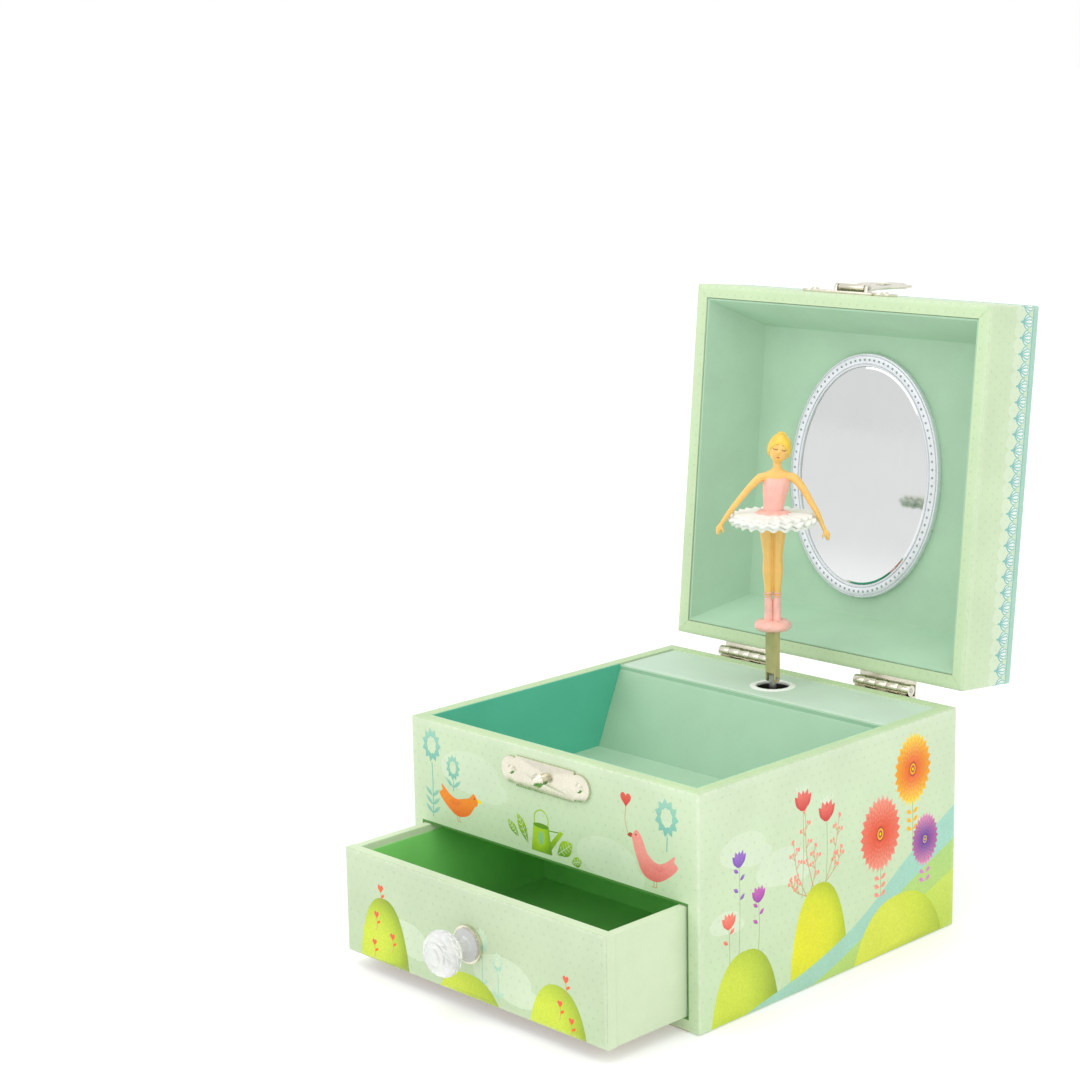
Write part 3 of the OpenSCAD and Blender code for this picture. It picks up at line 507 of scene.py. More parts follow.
def right_print(sheet):
    """Case right side: two round hills with tulips, a wide one under three big flowers, sweeping bands."""
    paint_cloud(sheet, -37, 45.4, 9)
    paint_cloud(sheet, -22, 37, 10)
    paint_cloud(sheet, -44, 27.5, 6)
    paint_tulip(sheet, -38.6, 43.2, 4.3, PURPLE, ink(160, 120, 200), 14,
                ((-1, 1.4), (1, 3.6), (-1, 6.6), (1, 8.8)))
    paint_tulip(sheet, -31, 31.8, 4.3, ink(152, 66, 160), ink(206, 110, 180), 14,
                ((-1, 1.2), (1, 3.4), (-1, 5.6)))
    paint_tulip(sheet, -42.6, 27.6, 4.3, CORAL, CORAL_PALE, 8, ((1, 1.4), (-1, 4.0)))
    for root, tip, side in (((-11.6, 26), (-16.8, 40.5), -1), ((-11.6, 26), (-17.6, 30.5), -1),
                            ((-10.4, 26), (-8.4, 37.5), 1), ((-8.6, 27), (-12.2, 48.0), -1),
                            ((-3.6, 28), (2.4, 34.5), 1), ((-3.8, 28), (1.6, 43.5), 1)):
        paint_berry_twig(sheet, root, tip, side)
    for x, y in ((-13.2, 52.8), (-3.4, 47.6)):
        for turn in np.linspace(-0.6, 0.6, 5):
            sheet.paint(leaf((x, y), (x + 5.4 * math.sin(turn), y + 5.4 * math.cos(turn)), 1.0), CLOUD)
        paint_tulip(sheet, x, y, 5.5, RED, ink(236, 128, 112), 26)
    paint_hill(sheet, -36.2, -8, 13.6, 26)
    paint_hill(sheet, -6.2, -4, 12.2, 32.4, SUN_DARK, SUN, SUN_LIGHT)
    for x, top in ((19.8, 30), (34.0, 42), (39.8, 25)):
        sheet.paint(stroke([(x, top), (x + 0.3, top - 8), (x, 13)], 0.3), STEM)
    band = [(-52, -3), (-30, 1.6), (-8, 6.2), (12, 13.6), (32, 25.6), (56, 37)]
    under = [(-52, -8), (-30, -4.4), (-8, 0.6), (12, 7.6), (32, 17.6), (56, 27.0)]
    foot = [(-52, -14), (-30, -10), (-8, -5.4), (12, 1.4), (32, 9.6), (56, 18)]
    sheet.paint(np.concatenate([curve(band), curve(under)[::-1]]), BAND_TEAL, BAND_TEAL_LIGHT)
    sheet.paint(np.concatenate([curve(under), curve(foot)[::-1]]), BAND_GREEN, ink(170, 208, 120))
    sheet.paint(np.concatenate([curve(foot), [(56, -14)]]), LIME, ink(196, 218, 92))
    paint_hill(sheet, 28.6, -14, 21.5, 30.0, ink(156, 180, 54), ink(196, 212, 60), ink(210, 220, 74))
    paint_gerbera(sheet, 34.0, 50.6, 8.3, 10.7, YELLOW, AMBER, BROWN, HONEY, 3)
    paint_gerbera(sheet, 19.8, 35.4, 8.9, 11.0, CORAL_PALE, FLAME, BROWN, CORAL_PALE, 3)
    paint_gerbera(sheet, 40.0, 28.9, 6.1, 7.8, ink(226, 128, 170), ink(104, 62, 156), ink(90, 50, 140),
                  ink(206, 130, 190), 2)


def back_print(sheet):
    """Case back: three hills with hearts and ring flowers, and a sweeping band."""
    paint_cloud(sheet, 30, 46, 11)
    paint_cloud(sheet, -26, 50, 10)
    paint_ring_flower(sheet, -14, 47, 3.6, 4.8, 26, 3, faint=True)
    paint_ring_flower(sheet, 18, 44, 3.4, 4.4, 24, 2)
    paint_tulip(sheet, -36.5, 36, 3.6, CORAL, CORAL_PALE, 12, ((1, 1.4), (-1, 3.8)))
    paint_tulip(sheet, -28.5, 42, 3.6, MAGENTA, PURPLE, 12, ((1, 1.4), (-1, 3.8), (1, 6.2)))
    paint_hill(sheet, -32, -8, 13, 30)
    paint_hill(sheet, 36, -8, 14, 26)
    paint_sweep(sheet, [(-56, 22), (-20, 9), (20, 12), (56, 26)], BAND_TEAL, BAND_TEAL_LIGHT)
    paint_sweep(sheet, [(-56, 14), (-20, 2), (20, 5), (56, 17)], LIME, BAND_GREEN)
    for x, y in ((33, 12), (39, 8), (36, 16.5)):
        sheet.paint(heart_outline(x, y, 2.2, 2.6), CORAL)


def left_print(sheet):
    """Case left side: a hill with tulips, a bird, and a pair of many-petalled flowers."""
    paint_cloud(sheet, -14, 48, 10)
    paint_cloud(sheet, 30, 42, 9)
    for x, top in ((-36, 32), (-25, 22)):
        sheet.paint(stroke([(x, top), (x + 0.3, top - 8), (x, 6)], 0.3), STEM)
    paint_tulip(sheet, 26, 44, 4.0, RED, CORAL, 22)
    paint_tulip(sheet, 34, 38, 3.4, PURPLE, MAGENTA, 20, ((1, 1.4), (-1, 3.8)))
    for root, tip, side in (((25, 26), (19, 38), -1), ((27, 26), (22.4, 33), -1), ((29, 26), (38, 33), 1)):
        paint_berry_twig(sheet, root, tip, side)
    paint_hill(sheet, 28, -6, 15, 34, SUN_DARK, SUN, SUN_LIGHT)
    paint_sweep(sheet, [(-56, 24), (-24, 20), (8, 9), (56, 2)], BAND_TEAL, BAND_TEAL_LIGHT)
    paint_sweep(sheet, [(-56, 16), (-24, 12), (8, 3), (56, -4)], LIME, BAND_GREEN)
    paint_gerbera(sheet, -36, 42, 8.4, 10.4, CORAL_PALE, FLAME, BROWN, CORAL_PALE, 3)
    paint_gerbera(sheet, -22, 28, 6.2, 7.6, YELLOW, AMBER, BROWN, HONEY, 2)
    paint_bird(sheet, 2, 30, 8.4, -1, 0.3, AMBER, ORANGE, YELLOW)


def drawer_print(sheet):
    """Drawer front: three round hills with hearts, and faint ring flowers behind the knob."""
    # The drawer's clouds are mixed towards its darker ground: part of the painted shade on the drawer front.
    haze = mixed(DRAWER_GROUND_SHADED_HIGH, CLOUD, 0.5)
    paint_cloud(sheet, -26, 14, 9, haze)
    paint_cloud(sheet, 12, 13, 11, haze)
    paint_ring_flower(sheet, 4.6, 21, 2.6, 3.4, 8, 1, faint=True)
    paint_ring_flower(sheet, 10.5, 16.5, 2.2, 2.8, 6, 1, faint=True)
    paint_ring_flower(sheet, -9.5, 17.5, 2.2, 2.8, 6, 1, faint=True)
    paint_hill(sheet, -34.2, -6, 10.4, 28.6)
    paint_hill(sheet, -0.6, -14, 15.6, 24.4)
    paint_hill(sheet, 32.4, -8, 11.2, 24.4)
    for x, y, size in ((-35.2, 25.2, 1.7), (-37.2, 17.4, 1.5), (-30.8, 12.6, 1.5), (-38.4, 9.2, 1.4),
                       (35.4, 18.8, 1.6), (33.2, 11.8, 1.4), (37.2, 8.2, 1.4)):
        sheet.paint(stroke([(x, y - 1), (x + 0.2, y - 3), (x - 0.3, y - 4.6)], 0.2), TWIG)
        sheet.paint(heart_outline(x, y, size * 1.3, size * 1.6), AMBER, CORAL)
        sheet.paint(leaf((x, y - 2.6), (x + 1.6, y - 1.5), 0.8), AMBER)


def lid_side_print(sheet):
    """Lid side: the lace border along the top, on the dotted ground."""
    paint_lace(sheet, LID_HIGH[2], 24, HALF)


def lid_top_print(sheet):
    """Lid top: a garden seen in a glow, with a spotted mound, hills, round trees and flowers."""
    sheet.paint(rectangle(-HALF, -HALF, HALF, HALF), CLOUD, WHITE_GLOW, glow=(2, 4, 62))
    sheet.paint(curve([(-56, 34), (-46, 22), (-38, 4), (-56, -8)]), ink(186, 214, 130), ink(206, 226, 160))
    sheet.paint(np.concatenate([curve([(4, -56), (14, -42), (28, -46), (56, -50)]), [(56, -56)]]), LIME,
                BAND_GREEN)
    mound = curve([(-56, -14), (-40, -14), (-16, -20), (2, -36), (6, -56)])
    sheet.paint(np.concatenate([mound, [(-56, -56)]]), ink(238, 130, 126), ink(246, 186, 176))
    for row in range(7):
        for column in range(10):
            x, y = -52 + 5.6 * column + 2.8 * (row % 2), -52 + 5.2 * row
            if y < -19 - 0.34 * (x + 40) - 0.012 * (x + 20) ** 2 * (x > -20):
                sheet.paint(oval(x, y, 0.75, 0.75, count=10), ink(250, 214, 204))
    ridge = curve([(-56, -8), (-40, -10), (-20, -22), (-24, -56)])
    sheet.paint(np.concatenate([ridge, [(-56, -56)]]), ink(196, 96, 90), ink(222, 150, 140))
    for x, y, rx, ry in ((10, 44, 11.5, 6.4), (38, 30, 11, 9)):
        sheet.paint(stroke([(x, y - ry * 0.5), (x + 1, y - ry - 4), (x - 1, y - ry - 9)], 0.7, 1.1), TWIG)
        sheet.paint(oval(x, y, rx, ry), LIME, ink(206, 222, 110), glow=(x - 3, y + 2, rx))
        sheet.paint(heart_outline(x + 3, y, 3, 3.4), ink(214, 226, 150))
    for x, y, size, outer, inner, eye in (
            (-22, 31, 13.0, ink(214, 112, 50), ORANGE, BROWN),
            (10, -32, 6.5, ink(190, 160, 214), PURPLE, MAGENTA), (29, -25, 8.5, CORAL_PALE, RED, BROWN),
            (37, 0, 8.0, YELLOW, CORAL, BROWN), (-22, 31, 5.4, ink(150, 206, 214), BLUE, TEAL)):
        paint_gerbera(sheet, x, y, size, size, outer, inner, eye, CORAL_PALE, 0)
    for x, y in ((-46, 42), (-40, 30), (-8, 50), (24, 14), (47, -12), (18, -8), (-30, 2)):
        for shift in (0, 2.2):
            sheet.paint(leaf((x + shift, y - 1.4), (x + shift + 1.2, y + 1.6), 0.9), TEAL_PALE)
    for x, y in ((12, 6), (20, 22), (-2, 12)):
        sheet.paint(leaf((x, y), (x + 5.4, y + 1.2), 2.2), LIME, LEAF_LIGHT)
        sheet.paint(stroke([(x + 1, y + 0.4), (x + 4.6, y + 0.9)], 0.25), ORANGE)


# ---- finishes ----

class Finish:
    """A node material on a Principled shader, with short ways to wire what its surface shows."""

    def __init__(self, name, colour, roughness, sockets=None):
        self.material = bpy.data.materials.new(name)
        self.material.use_nodes = True
        self.tree = self.material.node_tree
        self.shader = self.tree.nodes["Principled BSDF"]
        self.colour = (*colour, 1)
        self.shader.inputs["Base Color"].default_value = self.colour
        self.shader.inputs["Roughness"].default_value = roughness
        for socket, value in (sockets or {}).items():
            self.shader.inputs[socket].default_value = value
        self.place = self.add("ShaderNodeTexCoord").outputs["Object"]
        self.heights = []

    def add(self, kind, inputs=None, **settings):
        """A new node; inputs are values or other nodes' outputs, settings are its own options."""
        node = self.tree.nodes.new(kind)
        for key, value in settings.items():
            setattr(node, key, value)
        for key, value in (inputs or {}).items():
            if isinstance(value, bpy.types.NodeSocket):
                self.tree.links.new(value, node.inputs[key])
            else:
                node.inputs[key].default_value = value
        return node

    def noise(self, per_metre, detail=3.0, stretch=None, roughness=0.55):
        """Noise of per_metre lumps, from 0 to 1; stretch squeezes it along an axis."""
        place = self.place
        if stretch is not None:
            place = self.add("ShaderNodeMapping", {"Vector": place, "Scale": stretch}).outputs["Vector"]
        return self.add("ShaderNodeTexNoise", {"Vector": place, "Scale": per_metre, "Detail": detail,
                                               "Roughness": roughness}).outputs["Fac"]

    def spread(self, value, low, high, start=0.3, end=0.7):
        """A value read off between start and end, as low to high, held at both ends."""
        return self.add("ShaderNodeMapRange",
                        {"Value": value, "From Min": start, "From Max": end, "To Min": low,
                         "To Max": high}).outputs["Result"]

    def math(self, operation, *values):
        """A math node on up to three values."""
        return self.add("ShaderNodeMath", dict(enumerate(values)), operation=operation).outputs["Value"]

    def blend(self, share, first, second, kind="MIX"):
        """Colour mixed from first to second by share."""
        node = self.add("ShaderNodeMix", {"Factor": share, "A": first, "B": second}, data_type="RGBA",
                        blend_type=kind)
        return node.outputs["Result"]

    def tone(self, colour, value, low, high, start=0.3, end=0.7):
        """The colour made darker or lighter by a value: multiplied by low at start and by high at end."""
        level = self.spread(value, low, high, start, end)
        colour = colour[:3] if isinstance(colour, tuple) else colour
        return self.add("ShaderNodeVectorMath", {0: colour, "Scale": level},
                        operation="SCALE").outputs["Vector"]

    def raise_by(self, value, millimetres):
        """Adds a relief of that height where the value is 1."""
        self.heights.append(self.math("MULTIPLY", value, millimetres * MM))

    def done(self, colour=None, roughness=None):
        """Wires colour, roughness and the summed relief to the shader."""
        if colour is not None:
            self.tree.links.new(colour, self.shader.inputs["Base Color"])
        if roughness is not None:
            self.tree.links.new(roughness, self.shader.inputs["Roughness"])
        if self.heights:
            total = self.heights[0]
            for height in self.heights[1:]:
                total = self.math("ADD", total, height)
            bump = self.add("ShaderNodeBump", {"Height": total, "Strength": 1.0, "Distance": 1.0})
            self.tree.links.new(bump.outputs["Normal"], self.shader.inputs["Normal"])
        return self.material


MADE = {}


def finish(name):
    """The finish of that name, made once."""
    if name not in MADE:
        MADE[name] = FINISHES[name](name)
    return MADE[name]


def paper_finish(colour, dotted=False, inked=False, dark=0.94):
    """Covering paper: fibre grain, cloudy tone, and on the printed kind its inks, dots and rubbed folds."""
    def build(name):
        paper = Finish(name, colour, 0.5, {"Specular IOR Level": 0.35})
        base = paper.colour
        if inked:
            base = paper.add("ShaderNodeVertexColor", layer_name="ink").outputs["Color"]
            mask = paper.add("ShaderNodeAttribute", attribute_name="ground").outputs["Fac"]
            flat = paper.add("ShaderNodeUVMap", uv_map="flat").outputs["UV"]
            axes = paper.add("ShaderNodeSeparateXYZ", {"Vector": flat})
            speckle = paper.noise(1900, 2)
            sponge = paper.tone(base, speckle, 0.93, 1.06)
            base = paper.blend(mask, sponge, base)
            if dotted:
                row = paper.math("DIVIDE", axes.outputs["Y"], DOT_ROW * MM)
                shift = paper.math("MULTIPLY", paper.math("PINGPONG", paper.math("FLOOR", row), 1.0), 0.5)
                column = paper.math("ADD", paper.math("DIVIDE", axes.outputs["X"], DOT_STEP * MM), shift)
                aside = paper.math("MULTIPLY", paper.math("SUBTRACT", paper.math("FRACT", column), 0.5),
                                   DOT_STEP)
                above = paper.math("MULTIPLY", paper.math("SUBTRACT", paper.math("FRACT", row), 0.5), DOT_ROW)
                apart = paper.math("SQRT", paper.math("ADD", paper.math("POWER", aside, 2.0),
                                                      paper.math("POWER", above, 2.0)))
                dot = paper.math("MULTIPLY", paper.spread(apart, 1.0, 0.0, 0.3, 0.5), mask)
                patchy = paper.math("MULTIPLY", dot, paper.spread(paper.noise(260, 1), 0.35, 1.0))
                base = paper.tone(base, patchy, 1.0, 0.9, 0.0, 1.0)
            rub = paper.add("ShaderNodeAttribute", attribute_name="fold").outputs["Fac"]
            worn = paper.math("MULTIPLY", rub, paper.spread(paper.noise(900, 4), 0.06, 0.34, 0.4, 0.66))
            base = paper.blend(worn, base, (0.80, 0.84, 0.74, 1))
        cloudy = paper.noise(70, 4)
        base = paper.tone(base, cloudy, dark, 1.02)
        fibre = paper.noise(4200, 3, stretch=(1, 1, 0.35))
        base = paper.tone(base, fibre, 0.975, 1.02)
        paper.raise_by(fibre, 0.012)
        paper.raise_by(paper.noise(900, 2), 0.02)
        return paper.done(base, paper.spread(cloudy, 0.42, 0.58))
    return build


def board_finish(name):
    """Grey-brown case board: flecked pulp with fine layers along its edges."""
    board = Finish(name, ink(188, 172, 142), 0.85)
    fleck = board.noise(1500, 4)
    layers = board.noise(900, 2, stretch=(0.06, 0.06, 2.2))
    base = board.tone(board.colour, fleck, 0.82, 1.1)
    base = board.tone(base, layers, 0.92, 1.05)
    board.raise_by(fleck, 0.05)
    return board.done(base)


def metal_finish(colour, roughness, brushed=(1, 1, 1), tarnish=0.88, grain=1400, metallic=1.0):
    """Plated metal: fine grain in its polish, soft tarnish and a slightly uneven face."""
    def build(name):
        metal = Finish(name, colour, roughness, {"Metallic": metallic})
        cloud = metal.noise(240, 4)
        lines = metal.noise(grain, 3, stretch=brushed)
        base = metal.tone(metal.colour, cloud, tarnish, 1.04)
        metal.raise_by(lines, 0.004)
        metal.raise_by(metal.noise(420, 2), 0.012)
        worn = metal.math("ADD", metal.spread(cloud, roughness * 0.8, roughness * 1.3),
                          metal.spread(lines, -0.04, 0.05))
        return metal.done(base, worn)
    return build


def moulded_finish(colour, roughness, coat=0.0, shade=0.9, sub=0.0, relief=0.012):
    """Painted moulded plastic: a faint orange-peel, brush-laid tone and pooled shade."""
    def build(name):
        body = Finish(name, colour, roughness, {"Coat Weight": coat, "Coat Roughness": 0.12,
                                                "Subsurface Weight": sub, "Subsurface Scale": 0.0015,
                                                "Subsurface Radius": (1.0, 0.5, 0.3)})
        pooled = body.noise(330, 4)
        base = body.tone(body.colour, pooled, shade, 1.04)
        body.raise_by(body.noise(1300, 2), relief)
        return body.done(base, body.spread(pooled, roughness * 0.85, roughness * 1.25))
    return build


def mirror_finish(name):
    """Silvered glass: nearly flat, with a trace of haze and faint wipe marks."""
    glass = Finish(name, (0.68, 0.695, 0.69), 0.03, {"Metallic": 1.0})
    haze = glass.noise(55, 5)
    wipe = glass.noise(420, 2, stretch=(1, 0.15, 0.15))
    base = glass.tone(glass.colour, haze, 0.97, 1.0)
    return glass.done(base, glass.math("ADD", glass.spread(haze, 0.02, 0.06), glass.spread(wipe, 0.0, 0.03)))


def rim_finish(name):
    """Smooth silver-white lacquered metal, a little cloudy, with the faintest grain."""
    rim = Finish(name, ink(224, 226, 231), 0.3, {"Metallic": 0.22, "Coat Weight": 0.3, "Coat Roughness": 0.1})
    cloud = rim.noise(180, 3)
    base = rim.tone(rim.colour, cloud, 0.95, 1.02)
    rim.raise_by(rim.noise(900, 2), 0.004)
    return rim.done(base, rim.spread(cloud, 0.24, 0.36))


def cup_finish(name):
    """White enamel on the ring; below its lip the sleeve is painted near black, as painted shade inside the
    opening.
    """
    cup = Finish(name, ink(236, 240, 234), 0.22, {"Coat Weight": 0.5, "Coat Roughness": 0.12})
    height = cup.add("ShaderNodeSeparateXYZ", {"Vector": cup.place}).outputs["Z"]
    lip = (RING_HIGH[2] - 0.4) * MM
    pooled = cup.noise(330, 4)
    base = cup.tone(cup.colour, pooled, 0.97, 1.02)
    # Near black below the lip: painted shade down the bore.
    base = cup.blend(cup.spread(height, 1.0, 0.0, lip - 0.5 * MM, lip), base, (0.02, 0.022, 0.02, 1))
    cup.raise_by(cup.noise(1300, 2), 0.012)
    return cup.done(base, cup.spread(pooled, 0.19, 0.27))


def acrylic_finish(name):
    """Clear moulded acrylic: glassy, with faint flow marks and fine handling scratches."""
    clear = Finish(name, (0.98, 0.98, 0.985), 0.06, {"Transmission Weight": 0.5, "IOR": 1.49})
    flow = clear.noise(160, 2)
    scratch = clear.noise(2400, 2, stretch=(1, 0.2, 1))
    clear.raise_by(flow, 0.02)
    base = clear.tone(clear.colour, flow, 0.975, 1.0)
    return clear.done(base, clear.spread(scratch, 0.05, 0.12, 0.45, 0.8))


DOT_STEP = 3.1
DOT_ROW = 2.5
MINT = ink(168, 202, 172)
# Paler mint: painted light on the cover's level top.
MINT_PAINTED_LIGHT = ink(190, 212, 192)
FINISHES = {
    "printed_paper": paper_finish(GROUND_LOW, dotted=True, inked=True),
    "pale_paper": paper_finish(ink(202, 218, 184)),
    "mint_paper": paper_finish(MINT),
    # Inked mint sheet that shows the painted light on the cover's level top.
    "mint_sheet": paper_finish(MINT, inked=True),
    # Darker, bluer copy of the mint lining: painted shade on the tray's walls.
    "teal_paper": paper_finish(ink(92, 192, 163)),
    "deep_green_paper": paper_finish(ink(140, 222, 122), dark=0.88),
    "grey_board": board_finish,
    "warm_nickel": metal_finish(ink(222, 218, 200), 0.24, tarnish=0.9),
    "bright_steel": metal_finish(ink(190, 190, 188), 0.3, brushed=(1, 0.1, 1)),
    "turned_brass": metal_finish(ink(212, 178, 104), 0.28, brushed=(0.2, 0.2, 2.5)),
    "dull_brass": metal_finish(ink(206, 192, 138), 0.42, brushed=(2, 2, 0.1), tarnish=0.86, metallic=0.5),
    "skin_paint": moulded_finish(ink(240, 192, 104), 0.34, coat=0.35, shade=0.93, sub=0.25, relief=0.006),
    "hair_paint": moulded_finish(ink(242, 200, 66), 0.34, coat=0.3, shade=0.84),
    "line_paint": moulded_finish(ink(120, 74, 48), 0.4),
    "lip_paint": moulded_finish(ink(196, 72, 66), 0.35, coat=0.3),
    "bodice_paint": moulded_finish(ink(244, 182, 168), 0.36, coat=0.3, shade=0.93, sub=0.15),
    "shoe_paint": moulded_finish(ink(250, 190, 176), 0.38, coat=0.3, shade=0.86, sub=0.15),
    "tutu_plastic": moulded_finish(ink(236, 236, 229), 0.5, coat=0.05, shade=0.95, relief=0.02),
    "silvered_glass": mirror_finish,
    "silver_rim": rim_finish,
    "rim_dots": moulded_finish(ink(150, 156, 160), 0.45),
    "cup_enamel": cup_finish,
    "clear_acrylic": acrylic_finish,
}


# ---- meshes ----

NODE_BODY = {node: body for body, nodes in frame["record"]["behaviour"]["bodies"].items() for node in nodes}


def grid(rows, columns, close_columns=True, close_rows=False):
    """Quads of a grid of points; a closed way joins its last line to its first."""
    i, j = np.meshgrid(np.arange(rows if close_rows else rows - 1),
                       np.arange(columns if close_columns else columns - 1), indexing="ij")
    below, beside = (i + 1) % rows, (j + 1) % columns
    return np.stack([i * columns + j, i * columns + beside, below * columns + beside, below * columns + j],
                    -1).reshape(-1, 4)


def revolved(profile, count=48, centre=(0, 0, 0), squash=(1, 1), ripple=None):
    """Profile (radius, height) carried round Z: (r cos t, r sin t, h); ripple scales or lifts it by angle."""
    profile = np.array(profile, float)
    t = np.arange(count) * TAU / count
    r, h = np.meshgrid(profile[:, 0], t, indexing="ij")[0], np.repeat(profile[:, 1:2], count, axis=1)
    if ripple is not None:
        r, h = ripple(r, h, t)
    points = np.stack([centre[0] + r * np.cos(t) * squash[0], centre[1] + r * np.sin(t) * squash[1],
                       centre[2] + h], -1)
    return points.reshape(-1, 3), grid(len(profile), count)


def ball(centre, radii, rows=14, count=24):
    """Ellipsoid: centre plus (a sin p cos t, b sin p sin t, c cos p)."""
    p = np.linspace(0, math.pi, rows)
    return revolved(np.stack([np.sin(p) * radii[0], np.cos(p) * radii[2]], -1), count, centre,
                    (1, radii[1] / radii[0]))


def tube(path, wide, deep=None, count=16, closed=False, up=(0, 0, 1)):
    """Oval section carried along a path: point + wide cos t * side + deep sin t * over."""
    path = np.array(path, float)
    wide = np.broadcast_to(np.array(wide, float), len(path))
    deep = wide if deep is None else np.broadcast_to(np.array(deep, float), len(path))
    way = np.roll(path, -1, 0) - np.roll(path, 1, 0) if closed else np.gradient(path, axis=0)
    way /= np.maximum(np.linalg.norm(way, axis=1), 1e-9)[:, None]
    side = np.cross(way, np.broadcast_to(np.array(up, float), way.shape))
    side /= np.maximum(np.linalg.norm(side, axis=1), 1e-9)[:, None]
    over = np.cross(side, way)
    t = np.arange(count) * TAU / count
    rings = (path[:, None] + side[:, None] * (np.cos(t)[None, :, None] * wide[:, None, None])
             + over[:, None] * (np.sin(t)[None, :, None] * deep[:, None, None]))
    return rings.reshape(-1, 3), grid(len(path), count, close_rows=closed)


def rounded_end(values, ends=0.35):
    """Radii with a smaller ring and a pole added at both ends, to round a tube off."""
    values = np.array(values, float)
    return np.concatenate([[0, values[0] * ends * 2], values, [values[-1] * ends * 2, 0]])


def rod(path, radius, deep=None, count=16, up=(0, 0, 1)):
    """A tube through knots, with rounded ends; radius is given at each knot."""
    line = curve(path, len(path) * 5)
    share = np.linspace(0, 1, len(line))
    knots = np.linspace(0, 1, len(path))
    wide = np.interp(share, knots, np.broadcast_to(np.array(radius, float), len(path)))
    thick = wide if deep is None else np.interp(share, knots,
                                                np.broadcast_to(np.array(deep, float), len(path)))
    first = (line[0] - line[1]) / np.linalg.norm(line[0] - line[1])
    last = (line[-1] - line[-2]) / np.linalg.norm(line[-1] - line[-2])
    line = np.concatenate([[line[0] + first * wide[0] * 0.75, line[0] + first * wide[0] * 0.55], line,
                           [line[-1] + last * wide[-1] * 0.55, line[-1] + last * wide[-1] * 0.75]])
    return tube(line, rounded_end(wide), rounded_end(thick), count, up=up)


def turned_along_y(part, y, centre_x, centre_z):
    """A part drawn round Z, laid along -Y: its height runs forward from y."""
    points, faces = part
    return np.stack([centre_x + points[:, 0], y - points[:, 2], centre_z + points[:, 1]], -1), faces


def new_piece(name, mesh, body, look, stands_for=()):
    """Puts a mesh in the scene as a piece of the object, on its body and with its finish."""
    made = bpy.data.objects.new(name, mesh)
    bpy.context.scene.collection.objects.link(made)
    mesh.materials.clear()
    mesh.materials.append(finish(look))
    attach(made, body)
    if stands_for:
        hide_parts(*stands_for)
    return made


def closed_mesh(name, parts, sharp=38):
    """One mesh of closed parts in millimetres: doubles merged, faces turned outwards, hard edges marked."""
    points = np.concatenate([p for p, _ in parts])
    starts = np.cumsum([0] + [len(p) for p, _ in parts])
    faces = [face for start, (_, f) in zip(starts, parts) for face in (np.asarray(f) + start).tolist()]
    mesh = bpy.data.meshes.new(name)
    mesh.from_pydata((points * MM).tolist(), [], faces)
    tidy_mesh(mesh, sharp)
    return mesh


def tidy_mesh(mesh, sharp, flat_angle=None):
    """Merges doubles, joins triangles in one plane if asked, turns faces outwards and marks hard edges."""
    work = bmesh.new()
    work.from_mesh(mesh)
    bmesh.ops.remove_doubles(work, verts=work.verts, dist=2e-6)
    if flat_angle:
        bmesh.ops.dissolve_limit(work, angle_limit=math.radians(flat_angle), verts=work.verts,
                                 edges=work.edges)
    bmesh.ops.recalc_face_normals(work, faces=work.faces)
    work.to_mesh(mesh)
    work.free()
    mesh.shade_smooth()
    mesh.set_sharp_from_angle(angle=math.radians(sharp))


def settle(made, sharp=38):
    """Applies a piece's modifiers to its mesh."""
    bpy.context.view_layer.update()
    graph = bpy.context.evaluated_depsgraph_get()
    mesh = bpy.data.meshes.new_from_object(made.evaluated_get(graph), preserve_all_data_layers=True,
                                           depsgraph=graph)
    made.modifiers.clear()
    made.data = mesh
    mesh.name = made.name
    mesh.shade_smooth()
    mesh.set_sharp_from_angle(angle=math.radians(sharp))


def softened(node, look, width, segments=2, name=None):
    """A copy of a node with its doubles merged and its hard edges rounded off, which stands for the node."""
    mesh = frame["nodes"][node].data.copy()
    tidy_mesh(mesh, 38, flat_angle=0.4)
    made = new_piece(name or "soft_" + node, mesh, NODE_BODY[node], look, (node,))
    edge = made.modifiers.new("soft edge", "BEVEL")
    edge.width = width * MM
    edge.segments = segments
    edge.limit_method = "ANGLE"
    edge.angle_limit = math.radians(38)
    settle(made, 50)
    return made


def dress(node, look):
    """Gives a node that keeps its own shape its finish."""
    for place in frame["nodes"][node].material_slots:
        place.material = finish(look)


def rounded_box(points, low, high, turn):
    """Points on a box moved onto its rounded form: clamped to the box shrunk by turn, pushed out by turn."""
    core = np.clip(points, low + turn, high - turn)
    out = points - core
    return core + out * (turn / np.maximum(np.linalg.norm(out, axis=1), 1e-9))[:, None]


def quarter_turned(points, quarters):
    """Points turned about Z by whole quarter turns."""
    for _ in range(quarters):
        points = np.stack([-points[:, 1], points[:, 0], points[:, 2]], -1)
    return points


